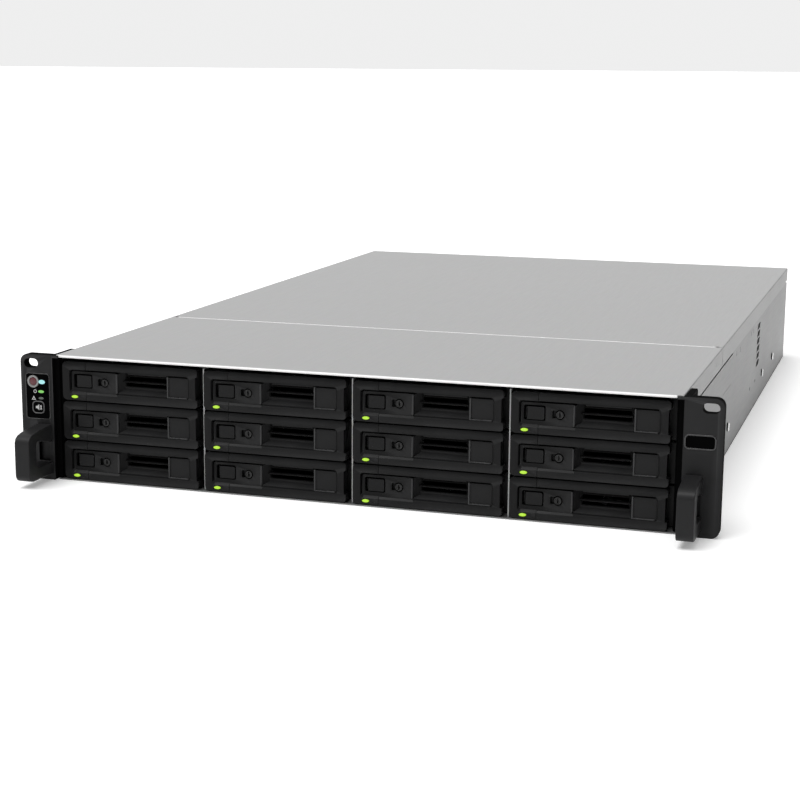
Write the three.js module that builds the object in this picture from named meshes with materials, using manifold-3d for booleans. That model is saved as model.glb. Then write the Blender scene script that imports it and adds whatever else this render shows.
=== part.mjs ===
// Rack-mounted network attached storage, 2U high, with twelve hot-swap drive trays.
// Millimetres, +Z up, front towards -Y. Origin: centre of the bounding box seen from above, on the plane the unit stands on.
import * as THREE from "three";
import { mergeVertices } from "three/addons/utils/BufferGeometryUtils.js";
import Module from "manifold-3d";

// ---------------------------------------------------------------- driving dimensions
const BODY_HALF = 215.3; // half width of the steel chassis
const COVER_HALF = 215.5; // half width over the covers
const HEIGHT = 88; // 2U
const EAR_HALF = 241; // half width over the rack ears
const GRIP_Y = -362; // front of the pull handles
const EAR_Y = -330; // front plane of the rack ears
const EAR_THICK = 7;
const TRAY_Y = -326.6; // front plane of the drive trays
const BACK_Y = 362; // rear end of the chassis
const COVER_SPLIT_Y = -139.3; // seam between front and rear cover
const SHEET = 1.5; // side wall and cover thickness
const PAN = 0.9; // base sheet thickness
const FLANGE_Z = 74.2; // lower edge of the covers' side flanges

const COLUMNS = 4;
const ROWS = 3;
const PITCH_X = 105.9;
const PITCH_Z = 27.85;
const TRAY_X0 = -210.6; // left edge of the first tray face
const TRAY_Z0 = 1.2; // lower edge of the lowest tray face
const FACE_W = 101;
const FACE_H = 27.1;
const SPLIT_U = 17.7; // where the handle ends and the fixed left end of the tray face starts
const PANEL = [5.8, 41.2, 6.1, 21.3]; // fixed inner panel with button and lock: u0, u1, h0, h1
const RECESS = 1.7; // how far the inner panels sit behind the face
const HANDLE_D = 7.6;
const PLATE_D = 11; // depth of the tray's front plate
const RAIL_END = 162; // depth of the tray's side rails
const RAIL = [-0.1, 1.0, 102.9, 104.0];
const LEDGE = 1.5; // width of the ledges under the trays' side rails
const HINGE = [97.5, 4.0]; // handle hinge pin: u, depth
const PIN_R = 1.2;
const BUTTON = [8.1, 21.9, 8.8, 18.4]; // opening of the release button
const LOCK = [31.1, 13.1, 3.0]; // key lock: u, h, opening radius
const GAP = 0.3; // clearance between pieces

const SLOT_X = 232.9; // rack slot centre
const SLOT_Z = 81.75;
const SLOT = [10.6, 6.4];
const GRIP_X = [218.5, 229.5];

const FAN_Y = [-118, -80];
const FAN_R = 38;
const BACKPLANE_Y = [-158.2, -155.8];
const PSU = { x: [133, 206.5], y: [168, 353], z: [[1.9, 41.9], [44.9, 84.9]] };
const REAR_WALL_Y = [349, 350.5];
const PSU_WALL_X = 130.6;

// ---------------------------------------------------------------- solids
const wasm = await Module();
wasm.setup();

function solid(geometry) {
  const plain = geometry.index ? geometry.toNonIndexed() : geometry.clone();
  plain.deleteAttribute("normal");
  plain.deleteAttribute("uv");
  const merged = mergeVertices(plain, 1e-4);
  return new wasm.Manifold(
    new wasm.Mesh({
      numProp: 3,
      vertProperties: new Float32Array(merged.attributes.position.array),
      triVerts: new Uint32Array(merged.index.array),
    }),
  );
}

// Box from its lowest to its highest corner.
function box(x0, y0, z0, x1, y1, z1) {
  return solid(
    new THREE.BoxGeometry(x1 - x0, y1 - y0, z1 - z0).translate((x0 + x1) / 2, (y0 + y1) / 2, (z0 + z1) / 2),
  );
}

// Right prism over an outline. axis names the direction of the prism; the outline is (y, z), (x, z) or (x, y).
function prism(axis, outline, low, high) {
  const shape = new THREE.Shape(outline.map(([a, b]) => new THREE.Vector2(a, b)));
  const body = new THREE.ExtrudeGeometry(shape, { depth: high - low, bevelEnabled: false });
  const m = new THREE.Matrix4();
  const X = new THREE.Vector3(1, 0, 0),
    Y = new THREE.Vector3(0, 1, 0),
    Z = new THREE.Vector3(0, 0, 1);
  if (axis === "x") m.makeBasis(Y, Z, X).setPosition(low, 0, 0);
  else if (axis === "y") m.makeBasis(X, Z, Y.clone().negate()).setPosition(0, high, 0);
  else m.makeBasis(X, Y, Z).setPosition(0, 0, low);
  return solid(body.applyMatrix4(m));
}

function disc(a, b, r, n = 16, turn = 0.5) {
  return Array.from({ length: n }, (_, i) => {
    const t = ((i + turn) / n) * 2 * Math.PI;
    return [a + r * Math.cos(t), b + r * Math.sin(t)];
  });
}

// Rectangle with rounded corners; r holds the radii of the corners (a0,b0), (a1,b0), (a1,b1), (a0,b1).
function round(a0, a1, b0, b1, r, n = 4) {
  const radii = Array.isArray(r) ? r : [r, r, r, r];
  const centre = [
    [a0 + radii[0], b0 + radii[0], Math.PI],
    [a1 - radii[1], b0 + radii[1], 1.5 * Math.PI],
    [a1 - radii[2], b1 - radii[2], 0],
    [a0 + radii[3], b1 - radii[3], 0.5 * Math.PI],
  ];
  const out = [];
  centre.forEach(([a, b, start], k) => {
    if (radii[k] <= 0) {
      out.push([a, b]);
      return;
    }
    for (let i = 0; i <= n; i++) {
      const t = start + (i / n) * 0.5 * Math.PI;
      out.push([a + radii[k] * Math.cos(t), b + radii[k] * Math.sin(t)]);
    }
  });
  return out;
}

const join = (...parts) => parts.reduce((a, b) => a.add(b));
const cut = (body, ...tools) => tools.reduce((a, b) => a.subtract(b), body);
const mirror = (outline) => outline.map(([a, b]) => [-a, b]).reverse();

function geometryOf(manifold) {
  const m = manifold.getMesh();
  const g = new THREE.BufferGeometry();
  const p = new Float32Array(m.numVert * 3);
  for (let i = 0; i < m.numVert; i++) p.set(m.vertProperties.subarray(i * m.numProp, i * m.numProp + 3), i * 3);
  g.setAttribute("position", new THREE.BufferAttribute(p, 3));
  g.setIndex(new THREE.BufferAttribute(new Uint32Array(m.triVerts), 1));
  g.computeVertexNormals();
  return g;
}

// ---------------------------------------------------------------- materials
const steel = new THREE.MeshStandardMaterial({ color: 0xb4b4b2, roughness: 0.42, metalness: 0.8 });
const coverSteel = new THREE.MeshStandardMaterial({ color: 0xbcbcba, roughness: 0.45, metalness: 0.8 });
const blackPlastic = new THREE.MeshStandardMaterial({ color: 0x2e2e30, roughness: 0.55, metalness: 0.0 });
const earBlack = new THREE.MeshStandardMaterial({ color: 0x333335, roughness: 0.5, metalness: 0.1 });
const buttonGrey = new THREE.MeshStandardMaterial({ color: 0x3a3a3c, roughness: 0.5, metalness: 0.0 });
const lockMetal = new THREE.MeshStandardMaterial({ color: 0x8c8c8a, roughness: 0.35, metalness: 0.9 });
const board = new THREE.MeshStandardMaterial({ color: 0x1d5a34, roughness: 0.6, metalness: 0.0 });
const fanBlack = new THREE.MeshStandardMaterial({ color: 0x1c1c1d, roughness: 0.6, metalness: 0.0 });
const psuSteel = new THREE.MeshStandardMaterial({ color: 0xa8a8a6, roughness: 0.45, metalness: 0.8 });

const unit = new THREE.Group();
function piece(name, manifold, material, parent = unit) {
  const mesh = new THREE.Mesh(manifold.isBufferGeometry ? manifold : geometryOf(manifold), material);
  mesh.name = name;
  parent.add(mesh);
  return mesh;
}

// ---------------------------------------------------------------- chassis
function chassis() {
  let body = box(-BODY_HALF, -327.2, 0, BODY_HALF, BACK_Y, PAN);
  for (const s of [-1, 1]) {
    const inner = s * (BODY_HALF - SHEET);
    const outer = s * BODY_HALF;
    let wall = box(Math.min(inner, outer), -320, 0, Math.max(inner, outer), BACK_Y, FLANGE_Z - 0.6);
    // Vent column in the side wall.
    for (let k = 0; k < 6; k++) {
      const z = 35.3 + 6.35 * k;
      wall = cut(wall, box(Math.min(inner, outer) - 1, 102, z - 2.2, Math.max(inner, outer) + 1, 121, z + 2.2));
    }
    // Inset strip that the covers' side flanges slide along.
    const strip = [s * 212.4, s * 213.9].sort((a, b) => a - b);
    body = join(body, wall, box(strip[0], -320, 66, strip[1], 360, 86.2));
    // Shoulder studs for the rack slides.
    for (const y of [-89, 150, 239]) {
      const [x0, x1] = [s * (BODY_HALF - 0.5), s * (BODY_HALF + 1.4)].sort((a, b) => a - b);
      body = join(body, prism("x", disc(y, 20, 3.4, 12), x0, x1));
    }
  }
  // Drive cage: upright plates between the columns, and the ledges that the trays run on.
  for (let i = 0; i <= COLUMNS; i++) {
    const x = TRAY_X0 + i * PITCH_X;
    body = join(body, box(x - 1.5, -324.3, 0.5, x - 0.5, -160, 84.6));
    for (let j = 1; j < ROWS; j++) {
      const z = TRAY_Z0 + j * PITCH_Z;
      const left = i > 0 ? LEDGE : 0,
        right = i < COLUMNS ? LEDGE : 0;
      body = join(body, box(x - 1.5 - left, -315, z - 0.4, x - 0.5 + right, -162, z + 0.1));
    }
  }
  // Power supply bays and rear wall.
  body = join(
    body,
    box(PSU_WALL_X, 165, 0.5, PSU_WALL_X + 0.8, 349.5, 85),
    box(PSU_WALL_X + 0.4, 165, 43.1, BODY_HALF - 0.5, 349.5, 43.7),
    cut(
      box(-(BODY_HALF - 1.4), REAR_WALL_Y[0], 0.5, BODY_HALF - 1.4, REAR_WALL_Y[1], 86.2),
      box(PSU.x[0] - 0.8, 340, PSU.z[0][0] - 0.6, PSU.x[1] + 0.8, 355, PSU.z[0][1] + 0.8),
      box(PSU.x[0] - 0.8, 340, PSU.z[1][0] - 0.8, PSU.x[1] + 0.8, 355, PSU.z[1][1] + 0.8),
      box(-64, 340, 8.5, 64, 355, 31.5),
      box(-190, 340, 12, -80, 355, 30),
      ...Array.from({ length: 9 }, (_, k) => box(-196 + 35 * k, 340, 40, -166 + 35 * k, 355, 78)),
    ),
  );
  return body;
}

// Folded lid: a flat top with a flange down each side. The outline is (x, z).
function cover(y0, y1) {
  const c = COVER_HALF,
    i = COVER_HALF - 1.3,
    z = HEIGHT - SHEET;
  return prism(
    "y",
    [
      [-c, FLANGE_Z],
      [-i, FLANGE_Z],
      [-i, z],
      [i, z],
      [i, FLANGE_Z],
      [c, FLANGE_Z],
      [c, HEIGHT - 0.5],
      [c - 0.5, HEIGHT],
      [0.5 - c, HEIGHT],
      [-c, HEIGHT - 0.5],
    ],
    y0,
    y1,
  );
}

// ---------------------------------------------------------------- rack ears, shape of the +X one
function gripOutline() {
  return [
    [EAR_Y + 1, 39.5],
    [-340, 38.9],
    [-354, 37.6],
    [-359.5, 36.2],
    [GRIP_Y + 0.4, 33.6],
    [GRIP_Y, 31],
    [GRIP_Y, 10],
    [GRIP_Y + 0.6, 7.4],
    [-359.2, 5.4],
    [-356, 4.6],
    [EAR_Y + 1, 4.6],
  ];
}
const FINGER = [
  [EAR_Y, 27],
  [-343, 30.4],
  [-349, 31.2],
  [-351.5, 29.6],
  [-351.5, 16.6],
  [-350, 14.4],
  [-346.5, 13.4],
  [EAR_Y, 13],
];

function ear(side) {
  const flip = (outline) => (side > 0 ? outline : mirror(outline));
  const span = (a, b) => (side > 0 ? [a, b] : [-b, -a]);
  const block = (x, y, z) => {
    const [x0, x1] = span(x[0], x[1]);
    return box(x0, y[0], z[0], x1, y[1], z[1]);
  };
  const plate = prism("y", flip(round(216.5, EAR_HALF, 0, HEIGHT, [1, 5.5, 5.5, 1], 5)), EAR_Y, EAR_Y + EAR_THICK);
  const [g0, g1] = span(GRIP_X[0], GRIP_X[1]);
  let body = join(
    plate,
    block([212.2, 217.5], [EAR_Y, EAR_Y + 1.3], [86.2, HEIGHT]),
    block([215.8, 219.8], [EAR_Y + EAR_THICK - 1, -295], [0.6, 87.4]),
    cut(prism("x", gripOutline(), g0, g1), prism("x", FINGER, g0 - 1, g1 + 1)),
  );
  // Finger pocket in the plate, rack slot.
  body = cut(
    body,
    block([220, 228.6], [EAR_Y - 1, EAR_Y + 3], [13.4, 26.6]),
    prism(
      "y",
      flip(round(SLOT_X - SLOT[0] / 2, SLOT_X + SLOT[0] / 2, SLOT_Z - SLOT[1] / 2, SLOT_Z + SLOT[1] / 2, 3.1, 4)),
      EAR_Y - 1,
      EAR_Y + EAR_THICK + 1,
    ),
  );
  if (side > 0)
    // Shallow seat of the blank name plate.
    return cut(body, prism("y", round(217.6, 236.3, 56, 64.4, 1.2, 2), EAR_Y - 1, EAR_Y + 0.8));
  // Seat of the control panel, and the wells of its two buttons.
  return cut(
    body,
    prism("y", round(-237, -219.2, 43, 74.5, 1.8, 2), EAR_Y - 1, EAR_Y + 0.8),
    prism("y", disc(-231.8, 68.9, 4.7, 20), EAR_Y - 1, EAR_Y + 5.6),
    prism("y", round(-233.1, -223.3, 46.2, 55.6, 3, 3), EAR_Y - 1, EAR_Y + 5.6),
  );
}

// ---------------------------------------------------------------- drive tray, local frame: u right, d back, h up
function trayBody() {
  const [p0, p1, h0, h1] = PANEL;
  const end = cut(
    prism("y", round(0, SPLIT_U - 0.15, 0, FACE_H, [3, 0, 0, 3], 3), 0, PLATE_D + 0.5),
    box(p0, -1, h0, SPLIT_U + 1, RECESS, h1),
  );
  const plate = cut(
    box(0.2, PLATE_D, 0.4, RAIL[3], PLATE_D + 1.5, 26.6),
    // Air window, level with the tray's floor.
    box(45, PLATE_D - 1, 1.1, 92, PLATE_D + 3, 22),
  );
  let body = join(
    end,
    box(p0, RECESS, h0, p1, PLATE_D + 0.5, h1),
    plate,
    box(RAIL[0], PLATE_D, 0.4, RAIL[1], RAIL_END, 22),
    box(RAIL[2], PLATE_D, 0.4, RAIL[3], RAIL_END, 22),
    box(RAIL[0], PLATE_D, 0.4, RAIL[3], RAIL_END, 1.1),
    // Arm and pin of the handle hinge.
    prism(
      "z",
      [
        [HINGE[0] + 1.4, PLATE_D + 0.5],
        [HINGE[0] - 1.4, PLATE_D + 0.5],
        [HINGE[0] - 1.4, HINGE[1]],
        [HINGE[0] - 1, HINGE[1] - 1],
        [HINGE[0], HINGE[1] - 1.4],
        [HINGE[0] + 1, HINGE[1] - 1],
        [HINGE[0] + 1.4, HINGE[1]],
      ],
      6.4,
      20.7,
    ),
    prism("z", disc(HINGE[0], HINGE[1], PIN_R, 8), 1.8, 25.3),
  );
  return cut(
    body,
    box(BUTTON[0], -1, BUTTON[2], BUTTON[1], 9.3, BUTTON[3]),
    prism("y", disc(LOCK[0], LOCK[1], LOCK[2], 16), -1, 8.6),
    // Seat of the lock's pointer.
    box(LOCK[0] - 4.7, -1, LOCK[1] - 2.4, LOCK[0], RECESS + 1.4, LOCK[1] + 2.4),
  );
}

function trayHandle() {
  const left = SPLIT_U + 0.15;
  let body = cut(
    prism("y", round(left, FACE_W, 0, FACE_H, [0, 2, 2, 0], 3), 0, HANDLE_D),
    // Room for the fixed inner panel.
    box(left - 1, -1, PANEL[2] - GAP, PANEL[1] + GAP, HANDLE_D + 1, PANEL[3] + GAP),
    // Recessed middle of the face.
    box(PANEL[1], -1, PANEL[2], 94.9, RECESS, PANEL[3]),
    // Hollow back.
    box(PANEL[1] + 2, 4.5, PANEL[2], 95.3, HANDLE_D + 1, PANEL[3]),
    box(95.3, RECESS, 6.1, FACE_W + 1, HANDLE_D + 1, 21.0),
    // Waist of the right-hand end.
    box(99.5, -1, 5.6, FACE_W + 1, HANDLE_D + 1, 21.5),
    // Vent slots.
    box(45.9, -1, 15.4, 76.1, HANDLE_D, 18.6),
    box(45.9, -1, 11.3, 76.1, HANDLE_D, 13.5),
    // Bore of the hinge.
    prism("z", disc(HINGE[0], HINGE[1], PIN_R + GAP, 8), 1.4, 25.7),
  );
  return body;
}

function releaseButton() {
  const [u0, u1, h0, h1] = BUTTON;
  return join(
    prism("y", round(u0 + 0.4, u1 - 0.4, h0 + 0.4, h1 - 0.4, 0.8, 2), 1.7, 7),
    box(u0 + 3, 6.5, h0 + 3, u1 - 3, 7.2, h1 - 3),
  );
}

function keyLock() {
  return cut(
    prism("y", disc(LOCK[0], LOCK[1], LOCK[2] - 0.35, 16), RECESS + 0.3, 8.3),
    box(LOCK[0] - 0.5, 1, LOCK[1] - 1.8, LOCK[0] + 0.5, RECESS + 1.4, LOCK[1] + 1.8),
  );
}

// ---------------------------------------------------------------- inner units
function backplane() {
  const [y0, y1] = BACKPLANE_Y;
  let body = box(-210.5, y0, 2, 210.5, y1, 84.5);
  for (let i = 0; i < COLUMNS; i++)
    for (let j = 0; j < ROWS; j++) {
      const x = TRAY_X0 + i * PITCH_X,
        z = TRAY_Z0 + j * PITCH_Z;
      body = cut(body, box(x + 10, y0 - 1, z + 13, x + 94, y1 + 1, z + 23));
      body = join(body, box(x + 36, y0 - 6.6, z + 3, x + 70, y0 + 0.5, z + 9.5));
    }
  return body;
}

function fanBank() {
  const [y0, y1] = FAN_Y;
  let body = box(-208, y0, 1.4, 208, y1, 85.4);
  for (let k = 0; k < 4; k++) {
    const x = -156 + 104 * k,
      z = 43.4;
    body = cut(body, prism("y", disc(x, z, FAN_R, 20), y0 - 1, y1 + 1));
    body = join(
      body,
      prism("y", disc(x, z, 15, 12), y0 + 4, y1),
      box(x - FAN_R - 2, y1 - 3, z - 1.5, x + FAN_R + 2, y1, z + 1.5),
      box(x - 1.5, y1 - 3, z - FAN_R - 1, x + 1.5, y1, z + FAN_R + 1),
    );
    if (k < 3) body = cut(body, box(x + 46, y0 - 1, 10, x + 58, y1 + 1, 76));
  }
  return body;
}

function mainboard() {
  let body = box(-205, -60, 6, 126, 346, 7.6);
  body = join(
    body,
    box(-62, 326, 7, 62, 348.5, 29.5),
    box(-62, 345, 9, 62, 352, 29.5),
    box(-188, 330, 7, -82, 348.5, 28.5),
    box(-188, 345, 12.6, -82, 351, 28.5),
  );
  // Processor heat sink, memory modules, solid-state drives.
  body = join(body, box(-80, 40, 7, 10, 130, 14));
  for (let k = 0; k < 9; k++) body = join(body, box(-80 + 10.6 * k, 40, 13, -75 + 10.6 * k, 130, 52));
  for (let k = 0; k < 4; k++) body = join(body, box(-160 + 12 * k, 20, 7, -157 + 12 * k, 155, 37));
  body = join(body, box(40, 60, 7, 62, 170, 11), box(70, 60, 7, 92, 170, 11));
  for (const [x, y] of [[-198, -50], [118, -50], [-198, 200], [118, 200], [-40, -50], [-40, 200]])
    body = join(body, box(x - 3, y - 3, PAN + 0.3, x + 3, y + 3, 6.5));
  return body;
}

function powerSupply(z0, z1) {
  const [x0, x1] = PSU.x,
    [y0, y1] = PSU.y;
  const zc = (z0 + z1) / 2;
  return join(
    cut(
      box(x0, y0, z0, x1, y1, z1),
      // Mains inlet well and fan well.
      box(x0 + 6, y1 - 14, zc - 11, x0 + 34, y1 + 1, zc + 9),
      prism("y", disc(x1 - 19, zc, 16.5, 20), y1 - 6, y1 + 1),
    ),
    prism("y", disc(x1 - 19, zc, 7, 12), y1 - 8, y1 - 1),
    // Pull handle.
    cut(
      box(x1 - 36.5, y1 - 0.5, zc - 17.5, x1 - 33, BACK_Y - 0.4, zc + 17.5),
      box(x1 - 38, y1, zc - 13.5, x1 - 30, BACK_Y - 3.4, zc + 13.5),
    ),
  );
}

// ---------------------------------------------------------------- assembly
piece("chassis_base", chassis(), steel);
piece(
  "front_cover",
  join(
    cut(cover(-328.2, COVER_SPLIT_Y - 0.3), box(-COVER_HALF - 1, -330, FLANGE_Z - 1, COVER_HALF + 1, -322, HEIGHT - SHEET - 0.01)),
    box(-COVER_HALF + 1, -328.2, 86.2, 211.6, -326.4, HEIGHT - 0.2),
  ),
  coverSteel,
);
piece("rear_cover", cover(COVER_SPLIT_Y + 0.3, BACK_Y), coverSteel);
piece("left_ear", ear(-1), earBlack);
piece("right_ear", ear(1), earBlack);
piece("power_button", prism("y", disc(-231.8, 68.9, 4.35, 20), EAR_Y - 0.2, EAR_Y + 4), buttonGrey);
piece("mute_button", prism("y", round(-232.75, -223.65, 46.55, 55.25, 2.7, 3), EAR_Y - 0.2, EAR_Y + 4), buttonGrey);
piece("backplane", backplane(), board);
piece("fan_tray", fanBank(), fanBlack);
piece("mainboard", mainboard(), board);
PSU.z.forEach(([z0, z1], k) => piece("power_supply_" + (k + 1), powerSupply(z0, z1), psuSteel));

const shared = [
  ["drive_tray", geometryOf(trayBody()), blackPlastic],
  ["tray_handle", geometryOf(trayHandle()), blackPlastic],
  ["release_button", geometryOf(releaseButton()), buttonGrey],
  ["key_lock", geometryOf(keyLock()), lockMetal],
];
// Trays count from the top left, row by row.
for (let n = 0; n < COLUMNS * ROWS; n++) {
  const column = n % COLUMNS,
    row = ROWS - 1 - Math.floor(n / COLUMNS);
  const bay = new THREE.Group();
  bay.position.set(TRAY_X0 + column * PITCH_X, TRAY_Y, TRAY_Z0 + row * PITCH_Z);
  unit.add(bay);
  for (const [name, geometry, material] of shared)
    piece(name + "_" + String(n + 1).padStart(2, "0"), geometry, material, bay);
}

export default unit;
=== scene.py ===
import math
import random

import bmesh
import bpy
from mathutils import Matrix, Vector


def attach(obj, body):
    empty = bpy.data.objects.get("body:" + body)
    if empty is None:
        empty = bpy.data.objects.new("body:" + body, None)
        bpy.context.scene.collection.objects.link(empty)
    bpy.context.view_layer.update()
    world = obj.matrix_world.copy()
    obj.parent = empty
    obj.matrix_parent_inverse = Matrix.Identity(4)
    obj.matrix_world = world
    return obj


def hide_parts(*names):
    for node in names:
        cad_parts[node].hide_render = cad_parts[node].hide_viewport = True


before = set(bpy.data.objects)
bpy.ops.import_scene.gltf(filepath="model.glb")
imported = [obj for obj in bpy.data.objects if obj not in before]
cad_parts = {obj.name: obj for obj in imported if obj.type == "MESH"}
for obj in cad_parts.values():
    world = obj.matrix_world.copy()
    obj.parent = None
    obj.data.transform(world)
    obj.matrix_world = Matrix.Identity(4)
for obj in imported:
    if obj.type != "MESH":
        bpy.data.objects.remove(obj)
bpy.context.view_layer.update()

random.seed(7)
scene = bpy.context.scene

# ------------------------------------------------------------------ dimensions (mm), the same as the CAD model's
COLUMNS, ROWS = 4, 3
PITCH_X, PITCH_Z = 105.9, 27.85
TRAY_X0, TRAY_Z0, TRAY_Y = -210.6, 1.2, -326.6
FACE_W, FACE_H = 101.0, 27.1
SPLIT_U = 17.7
PANEL = (5.8, 41.2, 6.1, 21.3)
RECESS = 1.7
HINGE = (97.5, 4.0)
BUTTON = (8.1, 21.9, 8.8, 18.4)
LOCK = (31.1, 13.1, 3.0)
EAR_Y, EAR_THICK = -330.0, 7.0
COVER_HALF, HEIGHT, SHEET, FLANGE_Z = 215.5, 88.0, 1.5, 74.2
SPLIT_Y, BACK_Y = -139.3, 362.0
PSU_X, PSU_Y = (133.0, 206.5), (168.0, 353.0)
PSU_Z = ((1.9, 41.9), (44.9, 84.9))


# ------------------------------------------------------------------ mesh helpers, in millimetres
def _link(name, me):
    ob = bpy.data.objects.new(name, me)
    scene.collection.objects.link(ob)
    return ob


def prism(axis, outline, lo, hi, name="tmp"):
    """A right prism. The outline is (y, z), (x, z) or (x, y) for axis x, y or z."""
    put = {
        "x": lambda a, b, c: (c, a, b),
        "y": lambda a, b, c: (a, c, b),
        "z": lambda a, b, c: (a, b, c),
    }[axis]
    n = len(outline)
    verts = [put(a, b, lo) for a, b in outline] + [put(a, b, hi) for a, b in outline]
    faces = [tuple(range(n)), tuple(range(2 * n - 1, n - 1, -1))]
    faces += [(i, (i + 1) % n, n + (i + 1) % n, n + i) for i in range(n)]
    me = bpy.data.meshes.new(name)
    me.from_pydata(verts, [], faces)
    bm = bmesh.new()
    bm.from_mesh(me)
    bmesh.ops.recalc_face_normals(bm, faces=bm.faces)
    bm.to_mesh(me)
    bm.free()
    return _link(name, me)


def box(x0, y0, z0, x1, y1, z1, name="tmp"):
    return prism("z", [(x0, y0), (x1, y0), (x1, y1), (x0, y1)], z0, z1, name)


def hull8(front, back, name="tmp"):
    """A block between two rectangles of the (u, h) plane: (u0, u1, h0, h1, d) each."""
    v = []
    for u0, u1, h0, h1, d in (front, back):
        v += [(u0, d, h0), (u1, d, h0), (u1, d, h1), (u0, d, h1)]
    f = [(0, 1, 2, 3), (7, 6, 5, 4), (0, 4, 5, 1), (1, 5, 6, 2), (2, 6, 7, 3), (3, 7, 4, 0)]
    me = bpy.data.meshes.new(name)
    me.from_pydata(v, [], f)
    bm = bmesh.new()
    bm.from_mesh(me)
    bmesh.ops.recalc_face_normals(bm, faces=bm.faces)
    bm.to_mesh(me)
    bm.free()
    return _link(name, me)


def loft(front, d0, back, d1, name="tmp"):
    """A solid between two outlines of the (u, h) plane with the same number of points."""
    n = len(front)
    verts = [(a, d0, b) for a, b in front] + [(a, d1, b) for a, b in back]
    faces = [tuple(range(n)), tuple(range(2 * n - 1, n - 1, -1))]
    faces += [(i, (i + 1) % n, n + (i + 1) % n, n + i) for i in range(n)]
    me = bpy.data.meshes.new(name)
    me.from_pydata(verts, [], faces)
    bm = bmesh.new()
    bm.from_mesh(me)
    bmesh.ops.recalc_face_normals(bm, faces=bm.faces)
    bm.to_mesh(me)
    bm.free()
    return _link(name, me)


def disc(a, b, r, n=32, turn=0.5, squash=1.0):
    return [(a + r * math.cos((i + turn) / n * 2 * math.pi), b + squash * r * math.sin((i + turn) / n * 2 * math.pi)) for i in range(n)]


def rounded(a0, a1, b0, b1, r, n=5):
    radii = r if isinstance(r, (list, tuple)) else (r, r, r, r)
    corners = (
        (a0 + radii[0], b0 + radii[0], math.pi),
        (a1 - radii[1], b0 + radii[1], 1.5 * math.pi),
        (a1 - radii[2], b1 - radii[2], 0.0),
        (a0 + radii[3], b1 - radii[3], 0.5 * math.pi),
    )
    out = []
    for k, (a, b, start) in enumerate(corners):
        if radii[k] <= 0:
            out.append((a, b))
            continue
        for i in range(n + 1):
            t = start + i / n * 0.5 * math.pi
            out.append((a + radii[k] * math.cos(t), b + radii[k] * math.sin(t)))
    return out


def apply(ob):
    dg = bpy.context.evaluated_depsgraph_get()
    me = bpy.data.meshes.new_from_object(ob.evaluated_get(dg), preserve_all_data_layers=True, depsgraph=dg)
    ob.modifiers.clear()
    old = ob.data
    ob.data = me
    bpy.data.meshes.remove(old)
    return ob


def boolean(base, *ops):
    """ops are ("-", object) or ("+", object); the tools are used up."""
    for sign, tool in ops:
        m = base.modifiers.new("b", "BOOLEAN")
        m.operation = {"-": "DIFFERENCE", "+": "UNION", "&": "INTERSECT"}[sign]
        m.object = tool
        m.solver = "EXACT"
    apply(base)
    for _, tool in ops:
        me = tool.data
        bpy.data.objects.remove(tool)
        bpy.data.meshes.remove(me)
    return base


def tidy(ob, angle=0.6):
    bm = bmesh.new()
    bm.from_mesh(ob.data)
    bmesh.ops.remove_doubles(bm, verts=bm.verts, dist=2e-3)
    bmesh.ops.dissolve_limit(bm, angle_limit=math.radians(angle), verts=bm.verts, edges=bm.edges)
    bmesh.ops.recalc_face_normals(bm, faces=bm.faces)
    bm.to_mesh(ob.data)
    bm.free()
    return ob


def bevel(ob, width, segments=2, angle=32, clean=True):
    if clean:
        tidy(ob)
    m = ob.modifiers.new("v", "BEVEL")
    m.width = width
    m.segments = segments
    m.limit_method = "ANGLE"
    m.angle_limit = math.radians(angle)
    m.use_clamp_overlap = True
    m.loop_slide = True
    return apply(ob)


def smooth(ob, angle=35, weighted=True):
    me = ob.data
    me.shade_smooth()
    me.set_sharp_from_angle(angle=math.radians(angle))
    if weighted:
        m = ob.modifiers.new("w", "WEIGHTED_NORMAL")
        m.keep_sharp = True
        m.weight = 50
        apply(ob)
    return ob


def merge(name, *obs):
    """Several objects' meshes as one mesh object, not unioned."""
    bm = bmesh.new()
    for o in obs:
        bm.from_mesh(o.data)
    me = bpy.data.meshes.new(name)
    bm.to_mesh(me)
    bm.free()
    for o in obs:
        old = o.data
        bpy.data.objects.remove(o)
        if old.users == 0:
            bpy.data.meshes.remove(old)
    return _link(name, me)


def to_metres(ob):
    ob.data.transform(Matrix.Scale(0.001, 4))
    return ob


def finish_piece(ob, name, material, body, replaces=(), angle=35, weighted=True):
    smooth(ob, angle, weighted)
    to_metres(ob)
    ob.name = name
    ob.data.name = name
    ob.data.materials.clear()
    ob.data.materials.append(material)
    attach(ob, body)
    if replaces:
        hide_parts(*replaces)
    return ob


# ------------------------------------------------------------------ materials
def new_material(name):
    m = bpy.data.materials.new(name)
    m.use_nodes = True
    nt = m.node_tree
    bsdf = nt.nodes["Principled BSDF"]
    return m, nt, bsdf


def node(nt, kind, **values):
    n = nt.nodes.new(kind)
    for k, v in values.items():
        if hasattr(n, k) and not k.startswith("in_"):
            setattr(n, k, v)
    return n


def mix_colour(nt, fac, a, b, blend="MIX"):
    n = nt.nodes.new("ShaderNodeMix")
    n.data_type = "RGBA"
    n.blend_type = blend
    for socket, value in ((n.inputs[0], fac), (n.inputs[6], a), (n.inputs[7], b)):
        if isinstance(value, bpy.types.NodeSocket):
            nt.links.new(value, socket)
        else:
            socket.default_value = value
    return n.outputs[2]


def remap(nt, value, a0, a1, b0, b1):
    n = nt.nodes.new("ShaderNodeMapRange")
    nt.links.new(value, n.inputs[0])
    for i, v in enumerate((a0, a1, b0, b1)):
        n.inputs[1 + i].default_value = v
    return n.outputs[0]


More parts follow.
